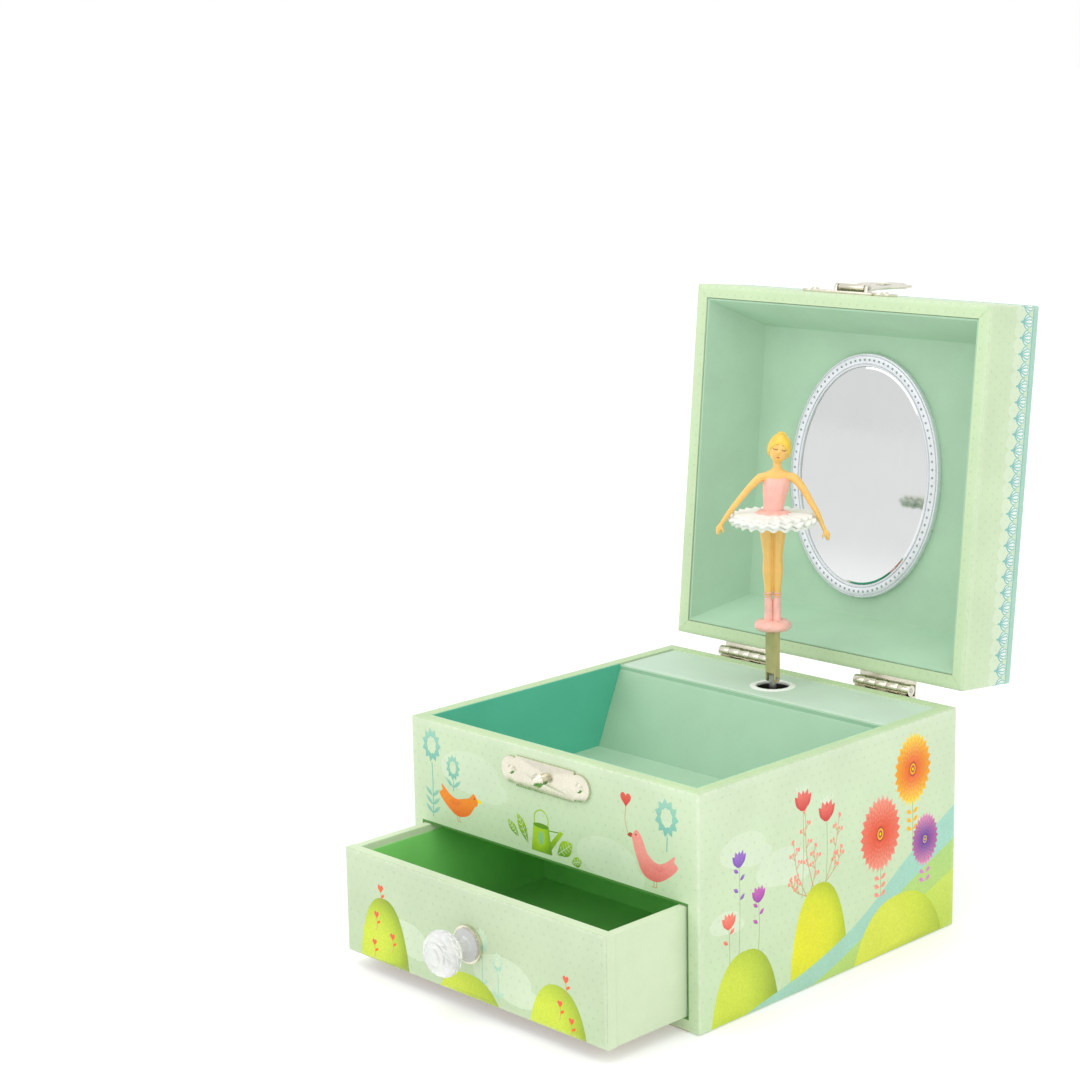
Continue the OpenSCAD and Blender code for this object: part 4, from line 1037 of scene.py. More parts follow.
def printed_piece(name, sheet, place, body, stands_for, spacing, thickness, look="printed_paper"):
    """A printed sheet laid on its faces by place, given its inks, its flat coordinates and its thickness."""
    flat, corners, inks, ground = sheet.triangles(spacing)
    used, corners = np.unique(corners, return_inverse=True)
    corners = corners.reshape(-1, 3)
    flat = flat[used]
    points, fold = place(flat)
    mesh = bpy.data.meshes.new(name)
    mesh.from_pydata((points * MM).tolist(), [], corners.tolist())
    rgba = np.ones((corners.size, 4), dtype=np.float32)
    rgba[:, :3] = inks.reshape(-1, 3)
    mesh.color_attributes.new("ink", "FLOAT_COLOR", "CORNER").data.foreach_set("color", rgba.ravel())
    mesh.attributes.new("ground", "FLOAT", "CORNER").data.foreach_set("value",
                                                                      ground.astype(np.float32).ravel())
    mesh.attributes.new("fold", "FLOAT", "POINT").data.foreach_set("value",
                                                                   np.clip(fold, 0, 1).astype(np.float32))
    across = (flat[corners.ravel()] * MM).astype(np.float32)
    mesh.uv_layers.new(name="flat").data.foreach_set("uv", across.ravel())
    made = new_piece(name, mesh, body, look, stands_for)
    paper = made.modifiers.new("paper", "SOLIDIFY")
    paper.thickness = thickness * MM
    paper.offset = -1
    settle(made, 55)
    return made


def card_piece(name, points, rows, columns, body, look, thickness, stands_for=()):
    """A card panel: a grid of points on its middle plane, given its thickness to both sides."""
    mesh = bpy.data.meshes.new(name)
    mesh.from_pydata((points * MM).tolist(), [], grid(rows, columns, close_columns=False).tolist())
    made = new_piece(name, mesh, body, look, stands_for)
    card = made.modifiers.new("card", "SOLIDIFY")
    card.thickness = thickness * MM
    card.offset = 0
    settle(made)
    tidy_mesh(made.data, 38)
    return made


# ---- case, lid and drawer ----

def side_place(low, high, quarters, rim, way, turn, finish_points=None):
    """Lays a flat side sheet on a box: up the face, then over the rim, way +1 at its top, -1 at its foot."""
    def place(flat):
        over = np.maximum((flat[:, 1] - rim) * way - RIM_LIFT, 0)
        height = np.minimum(flat[:, 1], rim + RIM_LIFT) if way > 0 else np.maximum(flat[:, 1], rim - RIM_LIFT)
        points = np.stack([flat[:, 0], low[1] + over, height], -1)
        points = quarter_turned(rounded_box(points, low, high, turn), quarters)
        near = np.minimum(high[0] - np.abs(flat[:, 0]), np.abs(flat[:, 1] - rim))
        return (finish_points(points) if finish_points else points), 1 - near / 1.3
    return place


def build_case_prints(sizes):
    """Four printed sides of the case, each folded in over the rim."""
    low = np.array([-HALF, -HALF, 0.0])
    high = np.array([HALF, HALF, RIM + RIM_LIFT])
    opening = rectangle(-HALF + WALL, CASE_LOW[2] + 3.6, HALF - WALL, DRAWER_HIGH[2] + 0.2)
    key = joint("key_turn")["pos_m"]
    key_hole = oval(-key[0] / MM, key[2] / MM, 4, 4, count=40)
    art = (("front", front_print, [opening]), ("right", right_print, []), ("back", back_print, [key_hole]),
           ("left", left_print, []))
    for quarters, (name, paint, cuts) in enumerate(art):
        folds = fold_lines(HALF, CASE_LOW[2], RIM, sizes.fold_radius / MM, ((RIM, -1), (RIM, 1)))
        sheet = Print(case_outline(HALF, CASE_LOW[2], RIM, WALL), cuts, folds)
        sheet.paint([(-HALF, RIM), (HALF, RIM), (HALF - WALL, RIM + WALL), (-HALF + WALL, RIM + WALL)],
                    RIM_TONE)
        paint(sheet)
        place = side_place(low, high, quarters, RIM, 1, sizes.fold_radius / MM)
        printed_piece("case_print_" + name, sheet, place, "case", ("base_wrap",),
                      sizes.print_spacing / MM, sizes.paper / MM)


def build_lid_prints(sizes):
    """Four printed sides of the lid, each folded in under its rim, and the printed top."""
    turn = sizes.fold_radius / MM
    for quarters, name in enumerate(("front", "right", "back", "left")):
        folds = fold_lines(HALF, LID_LOW[2], LID_HIGH[2], turn,
                           ((LID_LOW[2], -1), (LID_LOW[2], 1), (LID_HIGH[2], -1)))
        sheet = Print(lid_outline(HALF, LID_LOW[2], LID_HIGH[2], WALL), (), folds)
        lid_side_print(sheet)
        place = side_place(LID_LOW - (0, 0, RIM_LIFT), LID_HIGH, quarters, LID_LOW[2], -1, turn, opened)
        printed_piece("lid_print_" + name, sheet, place, "lid", ("lid_wrap",),
                      sizes.print_spacing / MM, sizes.paper / MM)
    folds = fold_lines(HALF, -HALF, HALF, turn, ((-HALF, 1), (HALF, -1)))
    sheet = Print(rectangle(-HALF, -HALF, HALF, HALF), (), folds)
    lid_top_print(sheet)

    def place(flat):
        points = np.stack([flat[:, 0], flat[:, 1], np.full(len(flat), LID_HIGH[2])], -1)
        near = HALF - np.abs(flat).max(1)
        return opened(rounded_box(points, LID_LOW, LID_HIGH, turn)), 1 - near / 1.3
    printed_piece("lid_print_top", sheet, place, "lid", ("lid_wrap",), sizes.print_spacing / MM,
                  sizes.paper / MM)


def build_drawer_print(sizes):
    """The drawer front's printed sheet, folded back over all four edges of its board."""
    low = DRAWER_LOW
    high = np.array([DRAWER_HIGH[0], FRONT_BOARD_HIGH[1], DRAWER_HIGH[2]])
    deep = high[1] - low[1]
    wide, foot, head = high[0], low[2], high[2]
    outline = [(-wide, foot - deep), (wide, foot - deep), (wide, foot), (wide + deep, foot),
               (wide + deep, head), (wide, head), (wide, head + deep), (-wide, head + deep), (-wide, head),
               (-wide - deep, head), (-wide - deep, foot), (-wide, foot)]
    turn = sizes.fold_radius / MM * 0.8
    folds = []
    for share in np.linspace(0, 1, 5):
        for way in (-1, 1):
            for side in (-1, 1):
                x = side * (wide + way * turn * share)
                folds += [(x, foot), (x, head)]
            folds += [(-wide, foot + way * turn * share), (wide, foot + way * turn * share),
                      (-wide, head + way * turn * share), (wide, head + way * turn * share)]
    # The drawer's ground is the darker, painted-shade copy of the case's ground.
    sheet = Print(outline, (), folds, (DRAWER_GROUND_SHADED_LOW, DRAWER_GROUND_SHADED_HIGH))
    drawer_print(sheet)
    for side in (-1, 1):
        flap = [(side * wide, foot - deep), (side * (wide + deep), foot - deep),
                (side * (wide + deep), head + deep), (side * wide, head + deep)]
        sheet.paint(flap, GROUND_LOW, GROUND_HIGH)

    def place(flat):
        u, v = flat[:, 0], flat[:, 1]
        aside = np.maximum(np.abs(u) - wide, 0)
        beyond = np.maximum(v - head, 0) + np.maximum(foot - v, 0)
        points = np.stack([np.clip(u, -wide, wide), low[1] + aside + beyond, np.clip(v, foot, head)], -1)
        near = np.minimum(np.abs(np.abs(u) - wide), np.minimum(np.abs(v - head), np.abs(v - foot)))
        return rounded_box(points, low, high + (0, 9, 0), turn), 1 - near / 1.1
    printed_piece("drawer_print", sheet, place, "drawer", ("drawer_wrap",),
                  sizes.print_spacing / MM, sizes.paper / MM)


def build_boards():
    """The case, lid and drawer boards: covered ones in pale paper, hidden ones in plain board."""
    for node in ("side_boards", "front_board", "back_board", "drawer_front", "drawer_walls", "lid_walls"):
        dress(node, "pale_paper")
    for node in ("bottom_board", "divider_board", "tray_floor", "cover_cleats", "lid_top_board",
                 "drawer_bottom"):
        dress(node, "grey_board")
    softened("drawer_walls", "pale_paper", 0.3)


def bent_path(knots, radius, count=8):
    """A straight-sided path with its inner corners rounded: each corner becomes a quadratic curve."""
    knots = np.array(knots, float)
    points = [knots[:1]]
    for before, corner, after in zip(knots[:-2], knots[1:-1], knots[2:]):
        start = corner + (before - corner) / np.linalg.norm(before - corner) * radius
        end = corner + (after - corner) / np.linalg.norm(after - corner) * radius
        t = np.linspace(0, 1, count)[:, None]
        points.append((1 - t) ** 2 * start + 2 * t * (1 - t) * corner + t ** 2 * end)
    return np.concatenate([*points, knots[-1:]])


def build_linings(sizes):
    """The tray's walls and floor, the folded sheet over slope and cover, the lid's and drawer's linings."""
    panel_low = reach("partition_panel")[0]
    cover_low, cover_high = reach("mechanism_cover")
    tray_high = reach("tray_lining")[1]
    dress("partition_panel", "mint_paper")
    dress("mechanism_cover", "mint_paper")
    slope_foot = np.array([panel_low[1], panel_low[2]])
    slope_head = np.array([cover_low[1], cover_low[2]])
    rise = (slope_head - slope_foot) / np.linalg.norm(slope_head - slope_foot)
    out = np.array([-rise[1], rise[0]])
    lift = 0.25
    top = cover_high[2] + lift
    corner = slope_foot + out * lift + rise * (top - slope_foot[1] - out[1] * lift) / rise[1]
    path = bent_path([slope_foot + out * lift, corner, (cover_high[1], top)], 2.2, 10)
    run = np.concatenate([[0], np.cumsum(np.linalg.norm(np.diff(path, axis=0), axis=1))])
    wide = cover_high[0] - 0.4
    hole_at = run[-1] - (cover_high[1] - SPINDLE[1])
    folds = [spot for step in run[1:-1] for spot in ((-wide, step), (wide, step))]
    sheet = Print(rectangle(-wide, 0, wide, run[-1]), [oval(0, hole_at, 5.6, 5.6, count=48)], folds)
    bend = run[len(run) // 2]
    sheet.paint(sheet.outline, MINT, MINT, ground=True)
    # The level part over the cover is painted paler than the slope: painted light on the upward face of the
    # same paper.
    sheet.paint(rectangle(-wide, bend, wide, run[-1]), MINT_PAINTED_LIGHT, MINT_PAINTED_LIGHT, ground=True)

    def place(flat):
        points = np.stack([flat[:, 0], np.interp(flat[:, 1], run, path[:, 0]),
                           np.interp(flat[:, 1], run, path[:, 1])], -1)
        return points, np.clip(1 - np.abs(flat[:, 1] - bend) / 1.5, 0, 1)
    printed_piece("cover_lining", sheet, place, "case", (), sizes.print_spacing / MM, 0.2,
                  "mint_sheet")

    floor_z = slope_foot[1] + 0.5
    inner = tray_high[0] - 0.2
    plan = bent_path([(-inner, 30), (-inner, -inner), (inner, -inner), (inner, 30)], 0.9, 6)
    plan = np.concatenate([np.linspace(plan[0], plan[1], 12)[:-1], plan[1:-1],
                           np.linspace(plan[-2], plan[-1], 12)[1:]])
    heights = np.array([floor_z - 0.4, floor_z + 0.3, 46, 52, 58, 62, RIM - 0.35, RIM - 0.05])
    z, x = np.meshgrid(heights, plan[:, 0], indexing="ij")
    y = np.broadcast_to(plan[:, 1], z.shape)
    limit = slope_foot[0] + (z - slope_foot[1]) * rise[0] / rise[1] - 0.05
    share = (y + inner) / (30 + inner)
    y = -inner + share * (np.minimum(limit, cover_low[1]) + inner)
    # The tray's walls take the darker teal copy of the lining: painted shade.
    card_piece("tray_wall_lining", np.stack([x, y, z], -1).reshape(-1, 3), len(heights), len(plan), "case",
               "teal_paper", 0.4, ("tray_lining",))
    across = np.linspace(-inner, inner, 30)
    along = np.linspace(-inner, slope_foot[0], 20)
    x, y = np.meshgrid(across, along, indexing="ij")
    edge = np.minimum(np.minimum(inner - np.abs(x), y + inner), slope_foot[0] - y)
    z = floor_z - 0.2 + 0.35 * np.exp(-edge / 0.8)
    card_piece("tray_floor_lining", np.stack([x, y, z], -1).reshape(-1, 3), 30, 20, "case", "mint_paper",
               0.4, ("tray_lining",))
    softened("lid_lining", "mint_paper", 0.2, name="lid_card_lining")
    softened("drawer_lining", "deep_green_paper", 0.15, name="drawer_card_lining")


# ---- mirror, knob and metalwork ----

def build_mirror(sizes):
    """The oval mirror with a bevelled edge, and its dotted rim standing on the lid's ceiling."""
    low, high = closed_reach("mirror_frame")
    rx, ry = (high[:2] - low[:2]) / 2
    x, y = (high[:2] + low[:2]) / 2
    ceiling = high[2]
    glass_low = closed_reach("mirror_glass")[0][2]
    ring = sizes.mirror_ring / MM
    around = 144
    t = np.arange(around) * TAU / around
    section = [(0, 0), (0, 1.1), (0.2, 1.5), (0.5, 1.6), (0.62, 1.25), (0.78, 1.25), (0.92, 1.65), (1.5, 1.8),
               (2.4, 1.8), (2.95, 1.65), (3.08, 1.2), (3.24, 1.2), (3.38, 1.6), (3.7, 1.6), (3.9, 1.3),
               (3.9, 0.3), (3.9, 0)]
    scale = ring / section[-1][0]
    rows = [np.stack([x + (rx - inset * scale) * np.cos(t), y + (ry - inset * scale) * np.sin(t),
                      np.full(around, ceiling - tall)], -1) for inset, tall in section]
    parts = [(opened(np.concatenate(rows)), grid(len(section), around, close_rows=True))]
    a = np.arange(sizes.mirror_dots) * TAU / sizes.mirror_dots
    spots = np.stack([x + (rx - ring / 2) * np.cos(a), y + (ry - ring / 2) * np.sin(a)], -1)
    new_piece("mirror_rim", closed_mesh("mirror_rim", parts), "lid", "silver_rim",
              ("mirror_frame",))
    dot, faces = ball((0, 0, 0), (0.4, 0.4, 0.3), 6, 10)
    dots = [(opened(dot + (*spot, ceiling - 1.72)), faces) for spot in spots]
    new_piece("mirror_rim_dots", closed_mesh("mirror_rim_dots", dots), "lid", "rim_dots")
    face = [(0.0, 0.0), (0.35, 0), (0.7, 0.0), (0.978, 0.0), (0.997, 0.1), (1.0, 1.15), (0.5, 1.15),
            (0.0, 1.15)]
    rows = [np.stack([x + (rx - ring) * share * np.cos(t), y + (ry - ring) * share * np.sin(t),
                      np.full(around, glass_low + depth)], -1) for share, depth in face]
    plate = closed_mesh("mirror_plate", [(opened(np.concatenate(rows)), grid(len(face), around))], 8)
    new_piece("mirror_plate", plate, "lid", "silvered_glass", ("mirror_glass",))


def build_knob(sizes):
    """The cut acrylic knob: rings of facets, each turned half a facet, on a waisted foot."""
    low, high = reach("drawer_knob")
    x, z = (low[0] + high[0]) / 2, (low[2] + high[2]) / 2
    length = high[1] - low[1]
    face = (high[0] - low[0]) / 2
    facets = sizes.knob_facets
    profile = [(0, 0, 0), (0.7, 0, 0), (0.73, 0.05, 0), (0.55, 0.17, 0), (0.46, 0.31, 0), (0.58, 0.45, 0.5),
               (0.92, 0.58, 0), (1.0, 0.68, 0), (1.0, 0.78, 0.5), (0.86, 0.9, 0), (0.66, 0.97, 0.5),
               (0.52, 0.95, 0), (0.4, 1.0, 0.5), (0.16, 0.96, 0), (0, 0.97, 0)]
    rows = []
    for radius, depth, shift in profile:
        t = (np.arange(facets) + shift) * TAU / facets
        rows.append(np.stack([radius * face * np.cos(t), radius * face * np.sin(t),
                              np.full(facets, depth * length)], -1))
    quads = grid(len(profile), facets)
    cut = np.concatenate([quads[:, [0, 1, 2]], quads[:, [0, 2, 3]]])
    part = turned_along_y((np.concatenate(rows), cut), high[1], x, z)
    knob = closed_mesh("knob_cut_acrylic", [part], 4)
    new_piece("knob_cut_acrylic", knob, "drawer", "clear_acrylic", ("drawer_knob",))
    dress("knob_fittings", "warm_nickel")


def build_metalwork():
    """Hinges, latch, nails and winding key, with pressed edges rounded off."""
    for node in ("catch_plate", "latch_plate", "hasp_tongue"):
        softened(node, "warm_nickel", 0.18)
    for node in ("hinge_base_leaves", "hinge_lid_leaves"):
        softened(node, "warm_nickel", 0.12)
    softened("winding_key", "warm_nickel", 0.3)
    for node in ("base_nails", "lid_nails"):
        dress(node, "warm_nickel")
    for node in ("hinge_pins", "hasp_pin", "pivot_post", "dancer_spindle", "drive_spring"):
        dress(node, "bright_steel")


def build_stem():
    """The white cup ring round the spindle's opening, and the folded channel that carries the dancer."""
    flange, lip = RING_HIGH[0], RING_HIGH[2]
    bore = np.linalg.norm((node_points("cup_ring") - SPINDLE)[:, :2], axis=1).min()
    around = 96
    profile = [(bore, -3.4), (bore, -0.15), (bore + 0.2, 0.1), (bore + 0.6, 0.2), (bore + 1.1, 0.12),
               (bore + 1.4, 0.04), (flange - 0.4, -0.06), (flange - 0.1, -0.18), (flange, -0.4),
               (flange - 0.2, -0.5), (bore + 0.5, -0.5), (bore + 0.5, -3.4)]
    points, faces = revolved(profile, around, (SPINDLE[0], SPINDLE[1], lip + 0.05))
    start = (len(profile) - 1) * around
    spot = np.arange(around)
    after = (spot + 1) % around
    close = np.stack([spot, after, start + after, start + spot], -1)
    ring = closed_mesh("cup_rim", [(points, np.concatenate([faces, close]))])
    new_piece("cup_rim", ring, "case", "cup_enamel", ("cup_ring",))
    softened("stem_channel", "dull_brass", 0.12)


def build_movement():
    """Finishes of the movement inside the case."""
    for node in ("bedplate", "barrel_bridge", "comb", "comb_block", "movement_screws", "key_arbor",
                 "mainspring", "cylinder_pins", "cylinder_arbor"):
        dress(node, "bright_steel")
    for node in ("movement_bearings", "spring_barrel", "crown_wheel", "music_cylinder", "cylinder_gear",
                 "governor_gear", "air_fan"):
        dress(node, "turned_brass")


# ---- the dancer ----

TUTU_Z = (TUTU_LOW[2] + TUTU_HIGH[2]) / 2
HEAD_Z = reach("dancer_figure")[1][2] - 4.9
HEAD = np.array([3.2, 3.45, 4.15])


def sway(points):
    """Her upper body leans a little to her left: x moves by a smooth step from waist to shoulder."""
    t = np.clip((points[:, 2] - TUTU_Z) / 14, 0, 1)
    moved = points.copy()
    moved[:, 0] += 1.2 * t * t * (3 - 2 * t)
    return moved


def tilt_head(points, angle=math.radians(10)):
    """The head bends to her left about the top of the neck, along Y."""
    c, s = math.cos(angle), math.sin(angle)
    x, z = points[:, 0], points[:, 2] - (HEAD_Z - 3.8)
    return np.stack([c * x + s * z, points[:, 1], HEAD_Z - 3.8 - s * x + c * z], -1)


def stand_dancer(part, sizes):
    """Turns a part drawn facing -Y at the origin to her facing, on the spindle."""
    points, faces = part
    c, s = math.cos(sizes.dancer_facing), math.sin(sizes.dancer_facing)
    return np.stack([SPINDLE[0] + c * points[:, 0] - s * points[:, 1],
                     SPINDLE[1] + s * points[:, 0] + c * points[:, 1], points[:, 2]], -1), faces


def head_front(x, z):
    """Y of the face's surface at x and at z above the head's middle, on the head's ellipsoid."""
    return -HEAD[1] * np.sqrt(np.maximum(1 - (x / HEAD[0]) ** 2 - (z / HEAD[2]) ** 2, 0.02))


def head_part():
    """The head: an ellipsoid that narrows to the chin, with a small nose and ears."""
    points, faces = ball((0, 0, 0), HEAD, 24, 36)
    below = np.clip(-points[:, 2] / HEAD[2], 0, 1)
    points[:, 0] *= 1 - 0.2 * below ** 2
    points[:, 1] = points[:, 1] * (1 - 0.1 * below ** 2) - 0.25 * below
    parts = [(points, faces)]
    parts.append(rod([(0, head_front(0, 0.5) + 0.3, 0.5), (0, head_front(0, -0.5) - 0.1, -0.5),
                      (0, head_front(0, -0.75) - 0.12, -0.78)], [0.22, 0.34, 0.4], up=(1, 0, 0)))
    for side in (-1, 1):
        parts.append(ball((side * (HEAD[0] - 0.08), 0.25, -0.3), (0.35, 0.55, 0.85), 10, 14))
    return [(tilt_head(p + (0, 0, HEAD_Z)), f) for p, f in parts]


def leg_part(side):
    """A leg: round sections down thigh, knee and calf to the ankle."""
    heights = [TUTU_Z + 1.5, TUTU_Z - 4, TUTU_Z - 8, TUTU_Z - 11, TUTU_Z - 15, TUTU_Z - 19, TUTU_Z - 23.5]
    aside = [1.95, 1.85, 1.65, 1.5, 1.5, 1.35, 1.3]
    fore = [0, 0, 0, -0.12, 0.12, 0.1, 0]
    radius = [2.0, 1.85, 1.55, 1.32, 1.5, 1.2, 0.98]
    return rod([(side * a, f, h) for a, f, h in zip(aside, fore, heights)], radius, np.array(radius) * 1.06,
               24, (0, 1, 0))


def arm_parts(side):
    """An arm held out and down in a soft curve, and a mitten hand with its thumb."""
    shoulder = HEAD_Z - 8.2
    drop = 15.6 if side < 0 else 17.2
    path = [(3.2, 0.1, shoulder + 0.2), (5.0, 0, shoulder - 0.5), (7.6, -0.3, shoulder - 3.2),
            (10.0, -0.7, shoulder - 6.6), (12.6, -1.2, shoulder - 10.4), (14.6, -1.6, shoulder - drop + 2.2)]
    reach_x = 15.5
    parts = [rod([(side * x, y, z) for x, y, z in path],
                 [1.15, 1.3, 1.05, 0.95, 0.82, 0.62], count=20, up=(0, 1, 0))]
    wrist = (side * 14.6, -1.6, shoulder - drop + 2.2)
    tip = (side * (reach_x + 0.2), -1.9, shoulder - drop - 0.7)
    middle = (side * (reach_x - 0.1), -1.8, shoulder - drop + 0.8)
    parts.append(rod([wrist, middle, tip], [0.62, 0.95, 0.55], [0.5, 0.55, 0.35], 20, (0, 1, 0)))
    parts.append(rod([(side * 14.7, -1.9, shoulder - drop + 1.4), (side * 14.2, -2.4, shoulder - drop + 0.3),
                      (side * 14.1, -2.5, shoulder - drop - 0.3)], [0.32, 0.34, 0.26], up=(0, 1, 0)))
    return parts


def build_skin(sizes):
    """One smooth skin over head, neck, chest, arms and legs: the parts are united and their joins rounded."""
    neck = HEAD_Z - 3.6
    chest = [(0, 0, neck - 10.5), (0, 0, neck - 8), (0, 0.05, neck - 5.6), (0, 0.1, neck - 4.2),
             (0, 0.1, neck - 3.3), (0, 0.1, neck - 2.4)]
    body = [rod(chest, [2.9, 3.3, 3.7, 4.2, 3.4, 1.6], [2.1, 2.4, 2.2, 1.7, 1.35, 1.15], 32, (0, 1, 0)),
            rod([(0, 0.15, neck - 4.2), (0, 0.1, neck - 1.8), (0, 0, neck + 1.2)], [1.45, 1.18, 1.25],
                count=24, up=(0, 1, 0))]
    for side in (-1, 1):
        body += arm_parts(side)
    legs = [leg_part(-1), leg_part(1)]
    parts = [(sway(p), f) for p, f in body] + [(sway(p), f) for p, f in head_part()] + legs
    mesh = closed_mesh("dancer_skin", [stand_dancer(part, sizes) for part in parts])
    skin = new_piece("dancer_skin", mesh, "dancer", "skin_paint", ("dancer_figure",))
    unite = skin.modifiers.new("unite", "REMESH")
    unite.mode = "VOXEL"
    unite.voxel_size = sizes.skin_voxel
    soft = skin.modifiers.new("soft joins", "SMOOTH")
    soft.factor = 0.5
    soft.iterations = 5
    settle(skin, 180)


def build_face_and_hair(sizes):
    """Closed eyes, brows and small mouth laid on the face, and hair combed back into a bun."""
    def on_face(line, lift):
        points = []
        for x, z in line:
            below = max(-z / HEAD[2], 0)
            points.append((x, head_front(x, z) * (1 - 0.1 * min(below, 1) ** 2) - 0.25 * below - lift, z))
        return np.array(points)
    marks = []
    for side in (-1, 1):
        lid = [(side * (1.25 + a), 0.32 - 0.3 * (1 - (a / 0.7) ** 2)) for a in np.linspace(-0.7, 0.7, 7)]
        marks.append(rod(on_face(lid, 0.0), [0.06, 0.1, 0.12, 0.13, 0.12, 0.1, 0.06], count=8))
        brow = [(side * (1.25 + a), 1.35 + 0.16 * (1 - (a / 0.7) ** 2)) for a in np.linspace(-0.65, 0.65, 5)]
        marks.append(rod(on_face(brow, -0.03), [0.05, 0.07, 0.08, 0.07, 0.05], count=8))

    def placed(parts):
        return [stand_dancer((sway(tilt_head(p + (0, 0, HEAD_Z))), f), sizes) for p, f in parts]
    new_piece("dancer_eye_lines", closed_mesh("dancer_eye_lines", placed(marks)), "dancer", "line_paint")
    lips = [rod(on_face([(a, -2.05 - 0.12 * math.cos(a * 2.6)) for a in np.linspace(-0.5, 0.5, 5)], -0.02),
                [0.07, 0.16, 0.19, 0.16, 0.07], count=10)]
    new_piece("dancer_mouth", closed_mesh("dancer_mouth", placed(lips)), "dancer", "lip_paint")

    rows, columns = 26, 48
    p = np.linspace(0, math.pi * 0.74, rows)
    t = np.arange(columns) * TAU / columns
    polar, turn = np.meshgrid(p, t, indexing="ij")
    forward = np.clip(-np.sin(turn), 0, 1)
    polar = polar * (1 - 0.50 * forward ** 1.3)
    edge = np.linspace(0, 1, rows)[:, None]
    swell = 1.07 + 0.05 * np.clip(np.sin(turn), 0, 1) + 0.012 * np.cos(turn * 22) * np.sin(polar)
    swell = swell - 0.13 * np.clip((edge - 0.9) / 0.1, 0, 1) ** 2
    cap = np.stack([HEAD[0] * swell * np.sin(polar) * np.cos(turn),
                    HEAD[1] * swell * np.sin(polar) * np.sin(turn), HEAD[2] * swell * np.cos(polar) * 0.985],
                   -1).reshape(-1, 3)
    inner = cap * 0.86
    quads = grid(rows, columns)
    start = (rows - 1) * columns
    ring = np.stack([start + np.arange(columns), start + (np.arange(columns) + 1) % columns,
                     rows * columns + start + (np.arange(columns) + 1) % columns,
                     rows * columns + start + np.arange(columns)], -1)
    hair = [(np.concatenate([cap, inner]), np.concatenate([quads, quads[:, ::-1] + rows * columns, ring]))]
    bun, faces = ball((0, 0, 0), (1.75, 1.5, 1.6), 18, 36)
    around = np.arctan2(bun[:, 1], bun[:, 0])
    bun *= (1 + 0.05 * np.sin(5 * around + bun[:, 2] * 2.4))[:, None]
    hair.append((bun + (0, 2.6, 2.9), faces))
    new_piece("dancer_hair", closed_mesh("dancer_hair", placed(hair), 60), "dancer", "hair_paint")


def build_dress(sizes):
    """The bodice with its pink peplum, and the tutu in three thick ruffled layers of moulded plastic."""
    waist = TUTU_Z + 2.0
    sections = [(waist - 2.4, 3.9, 3.3), (waist - 0.8, 3.3, 2.8), (waist + 0.6, 2.85, 2.3),
                (waist + 3, 3.1, 2.4), (waist + 5.6, 3.6, 2.75), (waist + 7.6, 3.85, 2.95),
                (waist + 9.2, 3.75, 2.65), (waist + 9.9, 3.45, 2.3), (waist + 9.6, 2.6, 1.6),
                (waist + 9.3, 0, 0)]
    t = np.arange(48) * TAU / 48
    rows = []
    for number, (height, wide, deep) in enumerate(sections):
        wave = (0.35 * np.cos(2 * t) + 0.25 * np.cos(4 * t)) * (number >= 6) * (wide > 0)
        level = np.exp(-((height - waist - 7) / 1.6) ** 2)
        bust = 0.35 * level * np.exp(-((np.abs(np.cos(t)) - 0.45) / 0.3) ** 2)
        front = np.where(np.sin(t) < 0, 1 + bust, 1)
        rows.append(np.stack([wide * np.cos(t), deep * np.sin(t) * front, height - wave], -1))
    rows.insert(0, np.stack([0 * t, 0 * t, np.full(48, waist - 2.4)], -1))
    bodice = (sway(np.concatenate(rows)), grid(len(rows), 48))
    skirt = [(0, 0.9), (1.5, 0.9), (3.2, 0.72), (4.4, 0.3), (5.1, -0.25), (5.2, -0.55), (4.9, -0.7),
             (3, -0.3), (0, -0.2)]

    def petals(r, h, angle):
        return r * (1 + 0.05 * np.cos(10 * angle) * (r > 4)), h + 0.12 * np.cos(10 * angle) * (r > 4)
    peplum = revolved(skirt, 80, (0, 0, TUTU_Z + 1.9), (1, 0.94), petals)
    placed = [stand_dancer(part, sizes) for part in (bodice, peplum)]
    new_piece("dancer_dress", closed_mesh("dancer_dress", placed, 60), "dancer", "bodice_paint",
              ("dancer_bodice",))

    reach_out = TUTU_HIGH[0] - SPINDLE[0]
    layers = ((0.9, 1.5, 0.9, 0.0), (1.0, 0.6, 0.0, 0.55), (0.95, -0.3, -0.95, 1.1))
    rings, count, ruffles = 14, 264, 22
    for number, (share, rise, rim, phase) in enumerate(layers):
        radii = np.linspace(3.0, reach_out * share, rings)
        r, angle = np.meshgrid(radii, np.arange(count) * TAU / count, indexing="ij")
        out = (r - radii[0]) / (radii[-1] - radii[0])
        ruffle = np.sin(ruffles * angle + phase + 0.5 * np.sin(3 * angle))
        lap = np.sin(2 * ruffles * angle + 2 * phase + 1.1)
        height = TUTU_Z + rise + (rim - rise) * out + 0.42 * out ** 1.4 * ruffle + 0.1 * out ** 2 * lap
        r = r * (1 - 0.03 * out ** 2 * (1 - np.cos(ruffles * angle + phase + 0.5 * np.sin(3 * angle))))
        points = np.stack([r * np.cos(angle), r * np.sin(angle), height], -1).reshape(-1, 3)
        placed_points = stand_dancer((points, None), sizes)[0]
        name = f"dancer_tutu_layer_{number + 1}"
        mesh = bpy.data.meshes.new(name)
        mesh.from_pydata((placed_points * MM).tolist(), [], grid(rings, count).tolist())
        layer = new_piece(name, mesh, "dancer", "tutu_plastic", ("dancer_tutu",))
        body = layer.modifiers.new("layer", "SOLIDIFY")
        body.thickness = sizes.tutu_layer
        body.offset = 0
        lip = layer.modifiers.new("round lip", "BEVEL")
        lip.width = sizes.tutu_layer * 0.42
        lip.segments = 3
        lip.angle_limit = math.radians(60)
        settle(layer)
        tidy_mesh(layer.data, 80)


